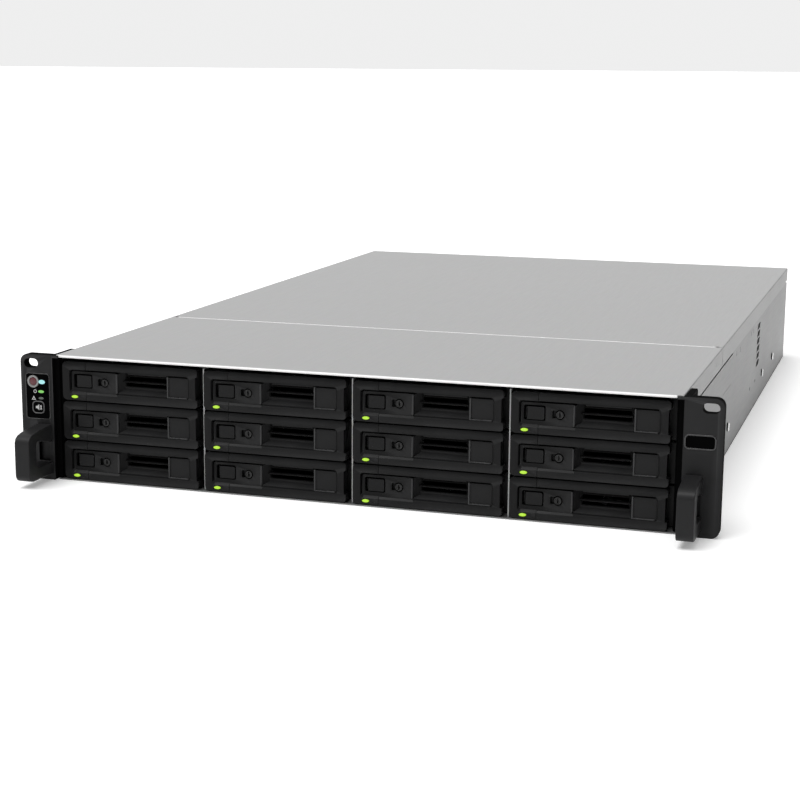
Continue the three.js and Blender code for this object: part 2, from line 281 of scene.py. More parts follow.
def noise(nt, coords, scale, detail=2.0, roughness=0.5, stretch=None):
    if stretch:
        mp = nt.nodes.new("ShaderNodeMapping")
        mp.inputs["Scale"].default_value = stretch
        nt.links.new(coords, mp.inputs[0])
        coords = mp.outputs[0]
    n = nt.nodes.new("ShaderNodeTexNoise")
    n.inputs["Scale"].default_value = scale
    n.inputs["Detail"].default_value = detail
    n.inputs["Roughness"].default_value = roughness
    nt.links.new(coords, n.inputs["Vector"])
    return n.outputs["Fac"]


def moulded(name, colour, rough=0.45, grain=0.00035, bump=0.25, specular=0.4, wear_and_highlight=0.5, vary=0.12):
    """Moulded plastic or grained paint: fine grain, uneven gloss, convex edges lightened, partly as rubbed wear and
    partly as painted highlight.
    """
    m, nt, b = new_material(name)
    tc = nt.nodes.new("ShaderNodeTexCoord")
    co = tc.outputs["Object"]
    cloud = noise(nt, co, 28.0, 4.0, 0.6)
    fine = noise(nt, co, 1.0 / grain, 2.0, 0.6)
    c = (*colour, 1)
    dark = tuple(v * (1 - vary) for v in colour) + (1,)
    light = tuple(min(1, v * (1 + vary) + 0.002) for v in colour) + (1,)
    base = mix_colour(nt, cloud, dark, light)
    geo = nt.nodes.new("ShaderNodeNewGeometry")
    # Convex edges found by pointiness get a lighter colour: rubbed wear and painted highlight together.
    edge = remap(nt, geo.outputs["Pointiness"], 0.52, 0.62, 0.0, wear_and_highlight)
    edge_wear_and_highlight = nt.nodes.new("ShaderNodeMath")
    edge_wear_and_highlight.operation = "MULTIPLY"
    nt.links.new(edge, edge_wear_and_highlight.inputs[0])
    nt.links.new(remap(nt, cloud, 0.3, 0.7, 0.4, 1.0), edge_wear_and_highlight.inputs[1])
    worn_and_lit = tuple(min(1, v * 2.0 + 0.012) for v in colour) + (1,)
    base = mix_colour(nt, edge_wear_and_highlight.outputs[0], base, worn_and_lit)
    nt.links.new(base, b.inputs["Base Color"])
    nt.links.new(remap(nt, cloud, 0.3, 0.7, rough - 0.05, rough + 0.06), b.inputs["Roughness"])
    b.inputs["Specular IOR Level"].default_value = specular
    bp = nt.nodes.new("ShaderNodeBump")
    bp.inputs["Strength"].default_value = bump
    bp.inputs["Distance"].default_value = 0.00006
    nt.links.new(fine, bp.inputs["Height"])
    nt.links.new(bp.outputs[0], b.inputs["Normal"])
    return m


def sheet_metal(name, colour, rough=0.42, metallic=0.9, streak=(1.0, 0.03, 1.0), vary=0.05, spangle=0.03):
    """Rolled sheet steel: faint rolling streaks, soft cloudiness, very fine tooth."""
    m, nt, b = new_material(name)
    tc = nt.nodes.new("ShaderNodeTexCoord")
    co = tc.outputs["Object"]
    cloud = noise(nt, co, 5.0, 3.0, 0.55)
    lines = noise(nt, co, 900.0, 3.0, 0.6, stretch=streak)
    tooth = noise(nt, co, 2600.0, 2.0, 0.5)
    vor = nt.nodes.new("ShaderNodeTexVoronoi")
    vor.inputs["Scale"].default_value = 260.0
    nt.links.new(co, vor.inputs["Vector"])
    dark = tuple(v * (1 - vary) for v in colour) + (1,)
    light = tuple(min(1, v * (1 + vary)) for v in colour) + (1,)
    base = mix_colour(nt, cloud, dark, light)
    base = mix_colour(nt, remap(nt, lines, 0.3, 0.7, 0.0, 0.35), base, tuple(v * 0.93 for v in colour) + (1,))
    base = mix_colour(nt, spangle, base, vor.outputs["Color"], "SOFT_LIGHT")
    nt.links.new(base, b.inputs["Base Color"])
    b.inputs["Metallic"].default_value = metallic
    r = nt.nodes.new("ShaderNodeMath")
    r.operation = "ADD"
    nt.links.new(remap(nt, cloud, 0.3, 0.7, rough - 0.04, rough + 0.04), r.inputs[0])
    nt.links.new(remap(nt, lines, 0.3, 0.7, -0.02, 0.03), r.inputs[1])
    nt.links.new(r.outputs[0], b.inputs["Roughness"])
    bp = nt.nodes.new("ShaderNodeBump")
    bp.inputs["Strength"].default_value = 0.12
    bp.inputs["Distance"].default_value = 0.00003
    nt.links.new(tooth, bp.inputs["Height"])
    nt.links.new(bp.outputs[0], b.inputs["Normal"])
    return m


def lamp(name, colour, strength, body=(0.2, 0.3, 0.1)):
    """A light pipe's lens: brightest in its middle."""
    m, nt, b = new_material(name)
    tc = nt.nodes.new("ShaderNodeTexCoord")
    lw = nt.nodes.new("ShaderNodeLayerWeight")
    lw.inputs["Blend"].default_value = 0.35
    c = mix_colour(nt, lw.outputs["Facing"], (*colour, 1), (*[v * 0.55 for v in colour], 1))
    grain = noise(nt, tc.outputs["Object"], 900.0, 2.0)
    c = mix_colour(nt, remap(nt, grain, 0.3, 0.7, 0.0, 0.12), c, (*[v * 0.7 for v in colour], 1))
    nt.links.new(c, b.inputs["Emission Color"])
    b.inputs["Emission Strength"].default_value = strength
    b.inputs["Base Color"].default_value = (*body, 1)
    b.inputs["Roughness"].default_value = 0.25
    return m


def gloss(name, colour, rough=0.12, specular=0.5, vary=0.1, coat=0.0):
    m, nt, b = new_material(name)
    tc = nt.nodes.new("ShaderNodeTexCoord")
    cloud = noise(nt, tc.outputs["Object"], 60.0, 3.0, 0.5)
    smear = noise(nt, tc.outputs["Object"], 240.0, 4.0, 0.6)
    base = mix_colour(nt, cloud, tuple(v * (1 - vary) for v in colour) + (1,), tuple(v * (1 + vary) + 0.001 for v in colour) + (1,))
    nt.links.new(base, b.inputs["Base Color"])
    nt.links.new(remap(nt, smear, 0.35, 0.75, rough * 0.8, rough * 1.6), b.inputs["Roughness"])
    b.inputs["Specular IOR Level"].default_value = specular
    b.inputs["Coat Weight"].default_value = coat
    return m


MAT_COVER = sheet_metal("steel_cover", (0.42, 0.42, 0.42), rough=0.5, metallic=0.6, spangle=0.02)
# Darker copy of the cover steel for the upright flanges: painted shade.
MAT_FLANGE_SHADE = sheet_metal("steel_flange_painted_shade", (0.29, 0.29, 0.29), rough=0.5, metallic=0.6, spangle=0.02)
# Chassis steel set darker than the covers' steel: painted shade on the side walls.
MAT_SIDE_SHADE = sheet_metal("steel_chassis_painted_shade", (0.218, 0.218, 0.218), rough=0.48, metallic=0.7, spangle=0.03)
MAT_INNER = sheet_metal("steel_inner", (0.34, 0.34, 0.34), rough=0.45, metallic=0.5, spangle=0.06)
MAT_TRAY = moulded("plastic_tray", (0.0062, 0.0062, 0.0064), rough=0.38, specular=0.10, wear_and_highlight=1.0)
MAT_HANDLE = moulded("plastic_handle", (0.0066, 0.0066, 0.0068), rough=0.36, specular=0.10, wear_and_highlight=1.0)
MAT_EAR = moulded("paint_ear", (0.0150, 0.0150, 0.0155), rough=0.40, specular=0.12, wear_and_highlight=0.9)
MAT_BUTTON = moulded("plastic_button", (0.0085, 0.0085, 0.0088), rough=0.34, specular=0.12)
# Near-black with almost no reflection: black plastic of real parts, and painted shade where it fills gaps, hollows and
# shadows.
MAT_BLACK_AND_SHADE = moulded("plastic_black_and_painted_shade", (0.0012, 0.0012, 0.0013), rough=0.75, specular=0.01, wear_and_highlight=0.0)
# Lighter plastic for the edge strips: painted highlight.
MAT_STRIP_HIGHLIGHT = moulded("plastic_painted_highlight", (0.024, 0.024, 0.0245), rough=0.28, specular=0.25, wear_and_highlight=0.6)
# Near-black matt plastic for the vent liner: painted shade in the scoop.
MAT_SCOOP_SHADE = moulded("plastic_scoop_painted_shade", (0.0022, 0.0022, 0.0023), rough=0.6, specular=0.04, wear_and_highlight=0.3)
MAT_STUD = sheet_metal("steel_stud", (0.90, 0.90, 0.89), rough=0.25, metallic=0.8, spangle=0.0)
MAT_LOCK = moulded("metal_lock", (0.014, 0.014, 0.014), rough=0.3, specular=0.2, wear_and_highlight=0.8)
MAT_PANEL = gloss("gloss_black", (0.0004, 0.0004, 0.0005), rough=0.2, specular=0.012)
MAT_LED_TRAY = lamp("led_tray", (0.50, 0.85, 0.035), 0.85, (0.10, 0.18, 0.02))
MAT_LED_BLUE = lamp("led_power", (0.26, 0.66, 0.90), 0.9)
MAT_LED_GREEN = lamp("led_status", (0.02, 0.42, 0.03), 0.8)
MAT_LED_OFF = gloss("led_off", (0.10, 0.12, 0.10), rough=0.3)
MAT_PRINT = gloss("print_pale", (0.52, 0.52, 0.515), rough=0.4)
MAT_RIM = gloss("rim_pale", (0.24, 0.24, 0.235), rough=0.3)
MAT_RIM2 = gloss("rim_grey", (0.11, 0.11, 0.11), rough=0.3)
MAT_FRAME = moulded("frame_black", (0.018, 0.018, 0.018), rough=0.25, specular=0.5, wear_and_highlight=1.0)
# Pale steel much lighter than the covers: painted highlight for lit edges.
MAT_EDGE_HIGHLIGHT = sheet_metal("steel_edge_painted_highlight", (0.80, 0.80, 0.795), rough=0.35, metallic=0.2, spangle=0.0)
MAT_RED = gloss("button_red", (0.11, 0.024, 0.03), rough=0.35)
MAT_BOARD = gloss("solder_mask", (0.012, 0.085, 0.035), rough=0.3, vary=0.2)
MAT_FAN = moulded("plastic_fan", (0.012, 0.012, 0.012), rough=0.5)
MAT_PSU = sheet_metal("steel_supply", (0.50, 0.50, 0.49), rough=0.42, metallic=0.9, spangle=0.08)
MAT_SCREW = sheet_metal("steel_screw", (0.42, 0.42, 0.42), rough=0.35, metallic=0.95, vary=0.1)
MAT_PORT = sheet_metal("steel_port", (0.62, 0.62, 0.60), rough=0.3, metallic=0.95)
MAT_CONTACT = sheet_metal("brass_contact", (0.62, 0.47, 0.20), rough=0.3, metallic=0.9)
MAT_LATCH = moulded("plastic_latch", (0.02, 0.14, 0.30), rough=0.4, specular=0.35)

CAD_MATERIALS = {
    "backplane": MAT_BOARD,
    "fan_tray": MAT_FAN,
}
for name, material in CAD_MATERIALS.items():
    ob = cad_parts[name]
    ob.data.materials.clear()
    ob.data.materials.append(material)


# ------------------------------------------------------------------ drive tray, local frame: u right, d back, h up
def tray_front():
    p0, p1, h0, h1 = PANEL
    ob = prism("y", rounded(0, SPLIT_U - 0.15, 0.2, FACE_H - 0.2, (3, 0, 0, 3), 6), 0, 11.5)
    ob = boolean(
        ob,
        # The upper band leans back a little; the panel's seat has a sloped sill.
        ("-", prism("x", [(-1, 27.3), (1.2, 27.3), (0, 24.1), (-1, 24.1)], -1, 20)),
        ("-", loft(rounded(p0 - 0.75, SPLIT_U + 1, h0 - 1.8, h1 + 0.25, (2.6, 0, 0, 2.2), 5), -0.2, rounded(p0, SPLIT_U + 1, h0, h1, (2.0, 0, 0, 2.0), 5), RECESS)),
    )
    ob = boolean(ob, ("+", panel_block()))
    # Groove that parts the panel from the face around it.
    ring = boolean(
        prism("y", rounded(p0 - 0.15, SPLIT_U + 1, h0, h1 + 0.1, (2.0, 0, 0, 2.0), 5), 0.5, 4.0),
        ("-", prism("y", rounded(p0 + 0.4, SPLIT_U + 2, h0 - 1, h1 - 1.1, (2.0, 0, 0, 1.6), 5), 0, 5)),
    )
    ob = boolean(
        ob,
        ("-", ring),
        ("-", prism("y", rounded(BUTTON[0] - 0.15, BUTTON[1] + 0.15, BUTTON[2] - 0.15, BUTTON[3] + 0.15, 1.2, 4), -1, 9.3)),
        ("-", prism("y", rounded(LOCK[0] - 4.7, LOCK[0] + 0.5, LOCK[1] - 2.3, LOCK[1] + 2.7, (0.7, 0, 0, 0.7), 3), -1, 4.2)),
        ("-", prism("y", disc(LOCK[0] + 0.1, LOCK[1] + 0.1, 3.2, 32), -1, 8.7)),
        # Light pipe seat.
        ("-", prism("y", disc(8.8, 2.5, 2.8, 24, 0, 0.48), -1, 1.2)),
    )
    bevel(ob, 0.22, 2)
    return ob


def panel_block():
    p0, p1, h0, h1 = PANEL
    return boolean(
        prism("y", rounded(p0 + 0.4, p1, h0 - 0.2, h1 - 1.1, (2.0, 0.5, 0.5, 1.6), 5), RECESS, 11.5),
        ("-", hull8((p1 - 1.5, p1 + 1, h0 - 1, h1 + 1, RECESS - 0.2), (p1 - 0.1, p1 + 1, h0 - 1, h1 + 1, 3.4))),
    )


def tray_body():
    RAIL = (-0.1, 1.0, 102.9, 104.0)
    plate = boolean(
        box(0.2, 11, 0.4, 104.0, 12.5, 26.6),
        ("-", prism("y", rounded(45, 92, 1.1, 22, (0, 0, 2, 2), 4), 10, 13)),
        ("+", prism("z", [(96.1, 11.5), (96.1, 4.0), (96.5, 3.0), (97.5, 2.6), (98.5, 3.0), (98.9, 4.0), (98.9, 11.5)], 6.4, 20.7)),
        ("+", prism("z", disc(HINGE[0], HINGE[1], 1.2, 20), 1.8, 25.3)),
    )
    parts = [plate]
    for a, b in ((RAIL[0], RAIL[1]), (RAIL[2], RAIL[3])):
        rail = box(a, 11.2, 0.4, b, 162, 22)
        rail = boolean(rail, *[("-", prism("x", rounded(y, y + 18, 8, 14, 3, 4), a - 1, b + 1)) for y in (28, 62, 96, 130)])
        parts.append(rail)
    floor = box(RAIL[0], 11.2, 0.4, RAIL[3], 162, 1.1)
    cuts = []
    for i in range(6):
        for j in range(4):
            u, y = 15 + 24 * j, 26 + 22.5 * i
            cuts.append(("-", prism("z", rounded(u - 9, u + 9, y - 8, y + 8, 3, 4), 0, 2)))
    parts.append(boolean(floor, *cuts))
    ob = merge("tray_body", *parts)
    bevel(ob, 0.15, 1)
    return ob


def tray_handle():
    left = SPLIT_U + 0.15
    p0, p1, h0, h1 = PANEL
    ob = prism("y", rounded(left, FACE_W, 0.2, FACE_H - 0.2, (0, 2.2, 2.2, 0), 6), 0, 7.6)
    ob = boolean(
        ob,
        ("-", prism("x", [(-1, 27.3), (1.2, 27.3), (0, 24.1), (-1, 24.1)], 0, 110)),
        ("-", box(left - 1, -1, h0 - 0.3, p1 + 0.3, 9, h1 + 0.3)),
        # Seat of the panel with a slope along its foot, then the seat of the middle.
        ("-", hull8((left - 2, p1 + 0.3, h0 - 1.8, h1 + 0.25, -0.2), (left - 2, p1 + 0.3, h0, h1, RECESS))),
        ("-", loft(rounded(p1 - 1, 95.2, h0 - 0.35, h1 + 0.25, (0, 1.8, 2.4, 0), 5), -0.2, rounded(p1 - 1, 94.6, h0, h1, (0, 1.4, 2.0, 0), 5), RECESS)),
        # Scoop in front of the vents: deep under its upper edge, rising to the face at its foot.
        ("-", hull8((p1 - 0.2, 78.6, h0 + 0.5, h1 + 0.02, RECESS - 0.1), (44.9, 77.0, 9.0, 20.9, 6.1))),
        ("-", box(p1, RECESS - 0.1, h1 - 1.1, 93.6, RECESS + 2.2, h1)),
        ("-", box(p1 + 2, 6.9, h0, 95.3, 9, h1)),
        ("-", box(79.5, 4.6, h0 + 0.8, 95.3, 9, h1 - 0.8)),
        ("-", box(95.3, 2.3, 6.1, FACE_W + 1, 9, 21.0)),
        ("-", prism("y", rounded(99.6, FACE_W + 3, 5.5, 21.7, (0.8, 0, 0, 0.8), 3), -1, 9)),
        ("-", prism("z", disc(HINGE[0], HINGE[1], 1.5, 20), 1.4, 25.7)),
    )
    # Vent slots with the proud rib between them, and a shallow louvre above.
    ob = boolean(
        ob,
        ("-", prism("y", rounded(45.8, 76.2, 15.3, 18.1, 0.5, 3), 4, 9)),
        ("-", prism("y", rounded(45.8, 76.2, 11.2, 13.8, 0.5, 3), 4, 9)),
        ("+", prism("x", [(6.6, 13.8), (4.6, 14.0), (4.0, 14.5), (4.6, 15.1), (6.6, 15.3)], 44.9, 77.2)),
        ("-", prism("y", rounded(46.2, 75.8, 18.9, 20.1, 0.3, 3), 4, 6.6)),
        # Flat pad at the right.
        ("+", box(79.6, RECESS - 0.3, h0 + 0.2, 94.0, 2.6, 20.1)),
    )
    bevel(ob, 0.22, 2)
    return ob


def release_button():
    u0, u1, h0, h1 = BUTTON
    ob = prism("y", rounded(u0 + 0.5, u1 - 0.75, h0 + 0.45, h1 - 0.95, 1.0, 5), 1.8, 7.2)
    ob = boolean(ob, ("-", hull8((u0 - 1, u0 + 2.5, h0 - 1, h1 + 1, 1.2), (u0 - 1, u0 + 1.0, h0 - 1, h1 + 1, 4.4))))
    bevel(ob, 0.35, 3)
    return ob


def key_lock():
    ob = prism("y", disc(LOCK[0], LOCK[1], 2.4, 32), 2.1, 8.3)
    ob = boolean(
        ob,
        ("-", prism("y", disc(LOCK[0], LOCK[1], 1.75, 32), 1, 2.35)),
        ("-", prism("y", rounded(LOCK[0] - 0.45, LOCK[0] + 0.45, LOCK[1] - 1.6, LOCK[1] + 1.6, 0.2, 2), 1, 4.2)),
        ("-", prism("y", disc(LOCK[0], LOCK[1], 0.8, 16), 1, 3.2)),
    )
    bevel(ob, 0.12, 2)
    return ob


def lens(u, h, ru, rh, depth0, depth1, n=24, rings=4):
    """A domed oval lens, front at depth0."""
    verts, faces = [], []
    for k in range(rings):
        t = k / rings
        s = math.cos(t * math.pi / 2)
        d = depth1 - (depth1 - depth0) * math.sin(t * math.pi / 2)
        for i in range(n):
            a = i / n * 2 * math.pi
            verts.append((u + ru * s * math.cos(a), d, h + rh * s * math.sin(a)))
    verts.append((u, depth0, h))
    base = len(verts)
    for i in range(n):
        a = i / n * 2 * math.pi
        verts.append((u + ru * math.cos(a), depth1 + 0.9, h + rh * math.sin(a)))
    for k in range(rings - 1):
        for i in range(n):
            j = (i + 1) % n
            faces.append((k * n + i, k * n + j, (k + 1) * n + j, (k + 1) * n + i))
    for i in range(n):
        j = (i + 1) % n
        faces.append(((rings - 1) * n + i, (rings - 1) * n + j, rings * n))
        faces.append((base + i, base + j, j, i))
    faces.append(tuple(base + i for i in reversed(range(n))))
    me = bpy.data.meshes.new("lens")
    me.from_pydata(verts, [], faces)
    bm = bmesh.new()
    bm.from_mesh(me)
    bmesh.ops.recalc_face_normals(bm, faces=bm.faces)
    bm.to_mesh(me)
    bm.free()
    return _link("lens", me)


def shared_piece(ob, material, angle=35, weighted=True):
    smooth(ob, angle, weighted)
    to_metres(ob)
    ob.data.materials.clear()
    ob.data.materials.append(material)
    me = ob.data
    bpy.data.objects.remove(ob)
    return me


front_mesh = shared_piece(tray_front(), MAT_TRAY)
body_mesh = shared_piece(tray_body(), MAT_TRAY)
handle_mesh = shared_piece(tray_handle(), MAT_HANDLE)
button_mesh = shared_piece(release_button(), MAT_BUTTON)
lock_mesh = shared_piece(key_lock(), MAT_LOCK)


def handle_highlight_strip():
    """Painted highlight round the pad, its left side and its foot: a lighter plastic strip standing in for light on the
    edge.
    """
    h0 = PANEL[2]
    ob = boolean(
        box(78.5, 0.5, h0 - 0.2, 94.2, 2.3, 20.6),
        ("-", prism("y", rounded(79.55, 97, h0 + 0.65, 25, (0.6, 0, 0, 0.6), 4), -1, 4)),
        ("-", box(93.2, 0, 4, 96, 3, 22)),
    )
    bevel(ob, 0.3, 3)
    return ob


def panel_highlight_strip():
    """Painted highlight on the right edge of the fixed panel: a lighter strip standing in for light on the chamfer."""
    p0, p1, h0, h1 = PANEL
    ob = prism("z", [(p1 - 1.35, RECESS - 0.35), (p1 - 0.75, RECESS - 0.45), (p1 - 0.15, RECESS + 0.2), (p1 - 0.1, RECESS + 2.2), (p1 - 1.4, RECESS + 1.2)], h0 + 0.1, h1 - 1.3)
    bevel(ob, 0.2, 3)
    return ob


def vent_shade_insert():
    """Matt liner round the vents, with its own slots; its near-black is painted shade at the back of the scoop."""
    ob = boolean(
        prism("y", rounded(45.1, 76.9, 10.6, 20.7, 0.8, 4), 5.9, 6.6),
        ("-", prism("y", rounded(46.0, 76.0, 15.4, 18.0, 0.5, 3), 4, 9)),
        ("-", prism("y", rounded(46.0, 76.0, 11.3, 13.7, 0.5, 3), 4, 9)),
        ("-", prism("y", rounded(46.3, 75.7, 18.9, 20.1, 0.3, 3), 4, 9)),
    )
    bevel(ob, 0.1, 2)
    return ob


vent_shade_insert_mesh = shared_piece(vent_shade_insert(), MAT_SCOOP_SHADE)
handle_highlight_mesh = shared_piece(handle_highlight_strip(), MAT_STRIP_HIGHLIGHT)
panel_highlight_mesh = shared_piece(panel_highlight_strip(), MAT_STRIP_HIGHLIGHT)
led_mesh = shared_piece(lens(8.8, 2.5, 2.35, 1.0, -0.3, 0.15), MAT_LED_TRAY, 60, False)


def instance(name, mesh, at, body, replaces=()):
    ob = bpy.data.objects.new(name, mesh)
    ob.location = [v / 1000 for v in at]
    scene.collection.objects.link(ob)
    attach(ob, body)
    if replaces:
        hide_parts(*replaces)
    return ob


for n in range(12):
    tag = "%02d" % (n + 1)
    column, row = n % COLUMNS, ROWS - 1 - n // COLUMNS
    at = (TRAY_X0 + column * PITCH_X, TRAY_Y, TRAY_Z0 + row * PITCH_Z)
    instance("tray_front_" + tag, front_mesh, at, "drive_tray_" + tag, ("drive_tray_" + tag,))
    instance("tray_rails_" + tag, body_mesh, at, "drive_tray_" + tag)
    instance("handle_" + tag, handle_mesh, at, "tray_handle_" + tag, ("tray_handle_" + tag,))
    instance("button_" + tag, button_mesh, at, "release_button_" + tag, ("release_button_" + tag,))
    instance("lock_" + tag, lock_mesh, at, "key_lock_" + tag, ("key_lock_" + tag,))
    instance("tray_light_" + tag, led_mesh, at, "drive_tray_" + tag)
    instance("handle_highlight_" + tag, handle_highlight_mesh, at, "tray_handle_" + tag)
    instance("vent_shade_liner_" + tag, vent_shade_insert_mesh, at, "tray_handle_" + tag)
    instance("panel_highlight_" + tag, panel_highlight_mesh, at, "drive_tray_" + tag)


# ------------------------------------------------------------------ covers
def cover_profile(lower=FLANGE_Z):
    """Folded lid with a small bend radius; outline (x, z)."""
    c, i, z, r = COVER_HALF, COVER_HALF - 1.3, HEIGHT - SHEET, 1.0
    pts = [(-c, lower), (-i, lower), (-i, z), (i, z), (i, lower), (c, lower)]
    for k in range(6):
        t = k / 5 * math.pi / 2
        pts.append((c - r + r * math.cos(t), HEIGHT - r + r * math.sin(t)))
    for k in range(6):
        t = math.pi / 2 + k / 5 * math.pi / 2
        pts.append((-c + r + r * math.cos(t), HEIGHT - r + r * math.sin(t)))
    return pts


def both_sides(make):
    """The tools of the right side and their mirror images."""
    return [("-", make(s)) for s in (1, -1)]


def side_tool(s, y0, z0, y1, z1, r=0.4, x0=212.9, x1=217.0):
    a, b = sorted((s * x0, s * x1))
    return prism("x", rounded(y0, y1, z0, z1, r, 3), a, b)


HEM_Y = -326.4
front = boolean(
    prism("y", cover_profile(), -326.6, SPLIT_Y - 0.45),
    ("-", box(-COVER_HALF - 1, -330, FLANGE_Z - 1, COVER_HALF + 1, -322, HEIGHT - SHEET - 0.01)),
    *both_sides(lambda s: side_tool(s, -175.9, 79.4, -174.7, 83.6, 0.5)),
    *both_sides(lambda s: side_tool(s, -300.9, 79.4, -299.7, 83.6, 0.5)),
)
bevel(front, 0.3, 3, 40)
finish_piece(front, "cover_front", MAT_COVER, "chassis", ("front_cover",))
# Rolled hem along the front edge, and the return that hooks over the cage, in pale steel: a painted highlight along the
# lit front edge.
hem = prism("x", [(-328.2, 86.7), (-328.2, 87.45), (-327.9, 87.8), (-327.4, 87.98), (-324.9, 87.98), (-324.9, 87.2), (-326.5, 86.9), (-326.5, 86.4), (-327.9, 86.4)], -COVER_HALF + 1, 211.6)
bevel(hem, 0.12, 2, 30)
finish_piece(hem, "cover_front_hem", MAT_EDGE_HIGHLIGHT, "chassis")

rear = boolean(
    prism("y", cover_profile(), SPLIT_Y + 1.1, BACK_Y),
    # Notch at the seam's ends.
    *[("-", prism("z", disc(s * 211.6, SPLIT_Y + 2.2, 1.15, 20), 86, 89)) for s in (1, -1)],
    # Rear edge: the flange is drawn in a little at its end.
    *both_sides(lambda s: side_tool(s, 347.5, 70, 363, 76.2, 0.3)),
)
bevel(rear, 0.22, 2, 40)
finish_piece(rear, "cover_rear", MAT_COVER, "rear_cover", ("rear_cover",))
# The flanges get a darker copy of the cover steel: painted shade on the upright sides, a shade darker than the tops.
for name in ("cover_front", "cover_rear"):
    me = bpy.data.objects[name].data
    me.materials.append(MAT_FLANGE_SHADE)
    for poly in me.polygons:
        if abs(poly.normal.x) > 0.6:
            poly.material_index = 1
# Lip at the seam in the same pale steel: a painted highlight along the seam.
lip = prism("x", [(SPLIT_Y + 0.3, 86.6), (SPLIT_Y + 0.3, 87.6), (SPLIT_Y + 0.6, 87.95), (SPLIT_Y + 1.5, 87.99), (SPLIT_Y + 1.5, 86.6)], -210.0, 210.0)
finish_piece(lip, "cover_rear_lip", MAT_EDGE_HIGHLIGHT, "rear_cover")


# ------------------------------------------------------------------ chassis: tub, cage, rear wall, studs
BODY_HALF, PAN = 215.3, 0.9


def vent_slots(s):
    out = []
    for k in range(6):
        z = 35.3 + 6.35 * k
        a, b = sorted((s * 213, s * 217))
        out.append(("-", prism("x", [(99.5, z - 2.3), (118.5, z - 2.3), (122.5, z + 2.3), (103.5, z + 2.3)], a, b)))
    return out


def tub():
    pan = box(-BODY_HALF, -327.2, 0, BODY_HALF, BACK_Y, PAN)
    walls = []
    for s in (1, -1):
        a, b = sorted((s * (BODY_HALF - SHEET), s * BODY_HALF))
        wall = boolean(
            # Lower at the front, where the flange of the front cover leaves a wide joint.
            prism("x", [(-320, 0), (BACK_Y, 0), (BACK_Y, 73.9), (-75, 73.9), (-76, 72.5), (-320, 72.5)], a, b),
            *vent_slots(s),
            *[("-", side_tool(s, y - 0.7, z0, y + 0.7, z1, 0.5)) for y, z0, z1 in ((-48.7, 67.0, 71.4), (-24.8, 66.2, 70.6), (51.2, 67.2, 71.2), (69.2, 67.0, 70.8))],
            # Dimples beside the slide.
            *[("-", prism("x", disc(y, 22.0, 1.6, 20), *sorted((s * 215.0, s * 216)))) for y in (58, 97.3)],
        )
        walls.append(wall)
        a, b = sorted((s * 212.4, s * 213.9))
        walls.append(box(a, -320, 66, b, 360, 86.2))
    ob = merge("tub", pan, *walls)
    bevel(ob, 0.18, 2, 40, clean=False)
    return ob


finish_piece(tub(), "chassis_tub", MAT_SIDE_SHADE, "chassis", ("chassis_base",))

# Long shallow crease pressed into the side walls.
creases = []
for s in (1, -1):
    a, b = sorted((s * 215.28, s * 215.42))
    creases.append(prism("x", [(-124, 50.2), (-78, 49.9), (-78, 50.5), (-124, 50.8)], a, b))
crease = merge("crease", *creases)
finish_piece(crease, "side_creases", MAT_SIDE_SHADE, "chassis")


def revolve_x(profile, y, z, n=24):
    """A turned piece along X: profile of (x, radius)."""
    verts, faces = [], []
    for x, rad in profile:
        for i in range(n):
            t = i / n * 2 * math.pi
            verts.append((x, y + rad * math.cos(t), z + rad * math.sin(t)))
    m = len(profile)
    for k in range(m - 1):
        for i in range(n):
            j = (i + 1) % n
            faces.append((k * n + i, k * n + j, (k + 1) * n + j, (k + 1) * n + i))
    faces.append(tuple(range(n)))
    faces.append(tuple((m - 1) * n + i for i in reversed(range(n))))
    me = bpy.data.meshes.new("turned")
    me.from_pydata(verts, [], faces)
    bm = bmesh.new()
    bm.from_mesh(me)
    bmesh.ops.recalc_face_normals(bm, faces=bm.faces)
    bm.to_mesh(me)
    bm.free()
    return _link("turned", me)


# Bright stud heads, each with a dark ring behind it: the rings are a painted shadow round the stud.
studs, stud_shadow_rings = [], []
for s in (1, -1):
    for y in (-89, 150, 239):
        studs.append(revolve_x([(s * 216.0, 1.6), (s * 216.05, 3.2), (s * 216.3, 3.4), (s * 216.62, 3.2), (s * 216.7, 2.9), (s * 216.7, 1.5), (s * 216.35, 1.2)], y, 20))
        stud_shadow_rings.append(revolve_x([(s * 214.9, 2.2), (s * 215.5, 3.4), (s * 215.55, 3.3), (s * 215.6, 2.3), (s * 216.1, 2.3)], y, 20))
finish_piece(merge("studs", *studs), "slide_studs", MAT_STUD, "chassis", angle=40)
finish_piece(merge("stud_shadow_rings", *stud_shadow_rings), "slide_stud_shadow_rings", MAT_BLACK_AND_SHADE, "chassis", angle=40)
# Black baffles behind the side vents: painted shade seen through the slots.
shade_baffles = [box(*sorted((s * 206.0, s * 207.0))[:1], 92, 30, sorted((s * 206.0, s * 207.0))[1], 134, 74) for s in (1, -1)]
finish_piece(merge("shade_baffles", *shade_baffles), "side_vent_shade_baffles", MAT_BLACK_AND_SHADE, "chassis", weighted=False)

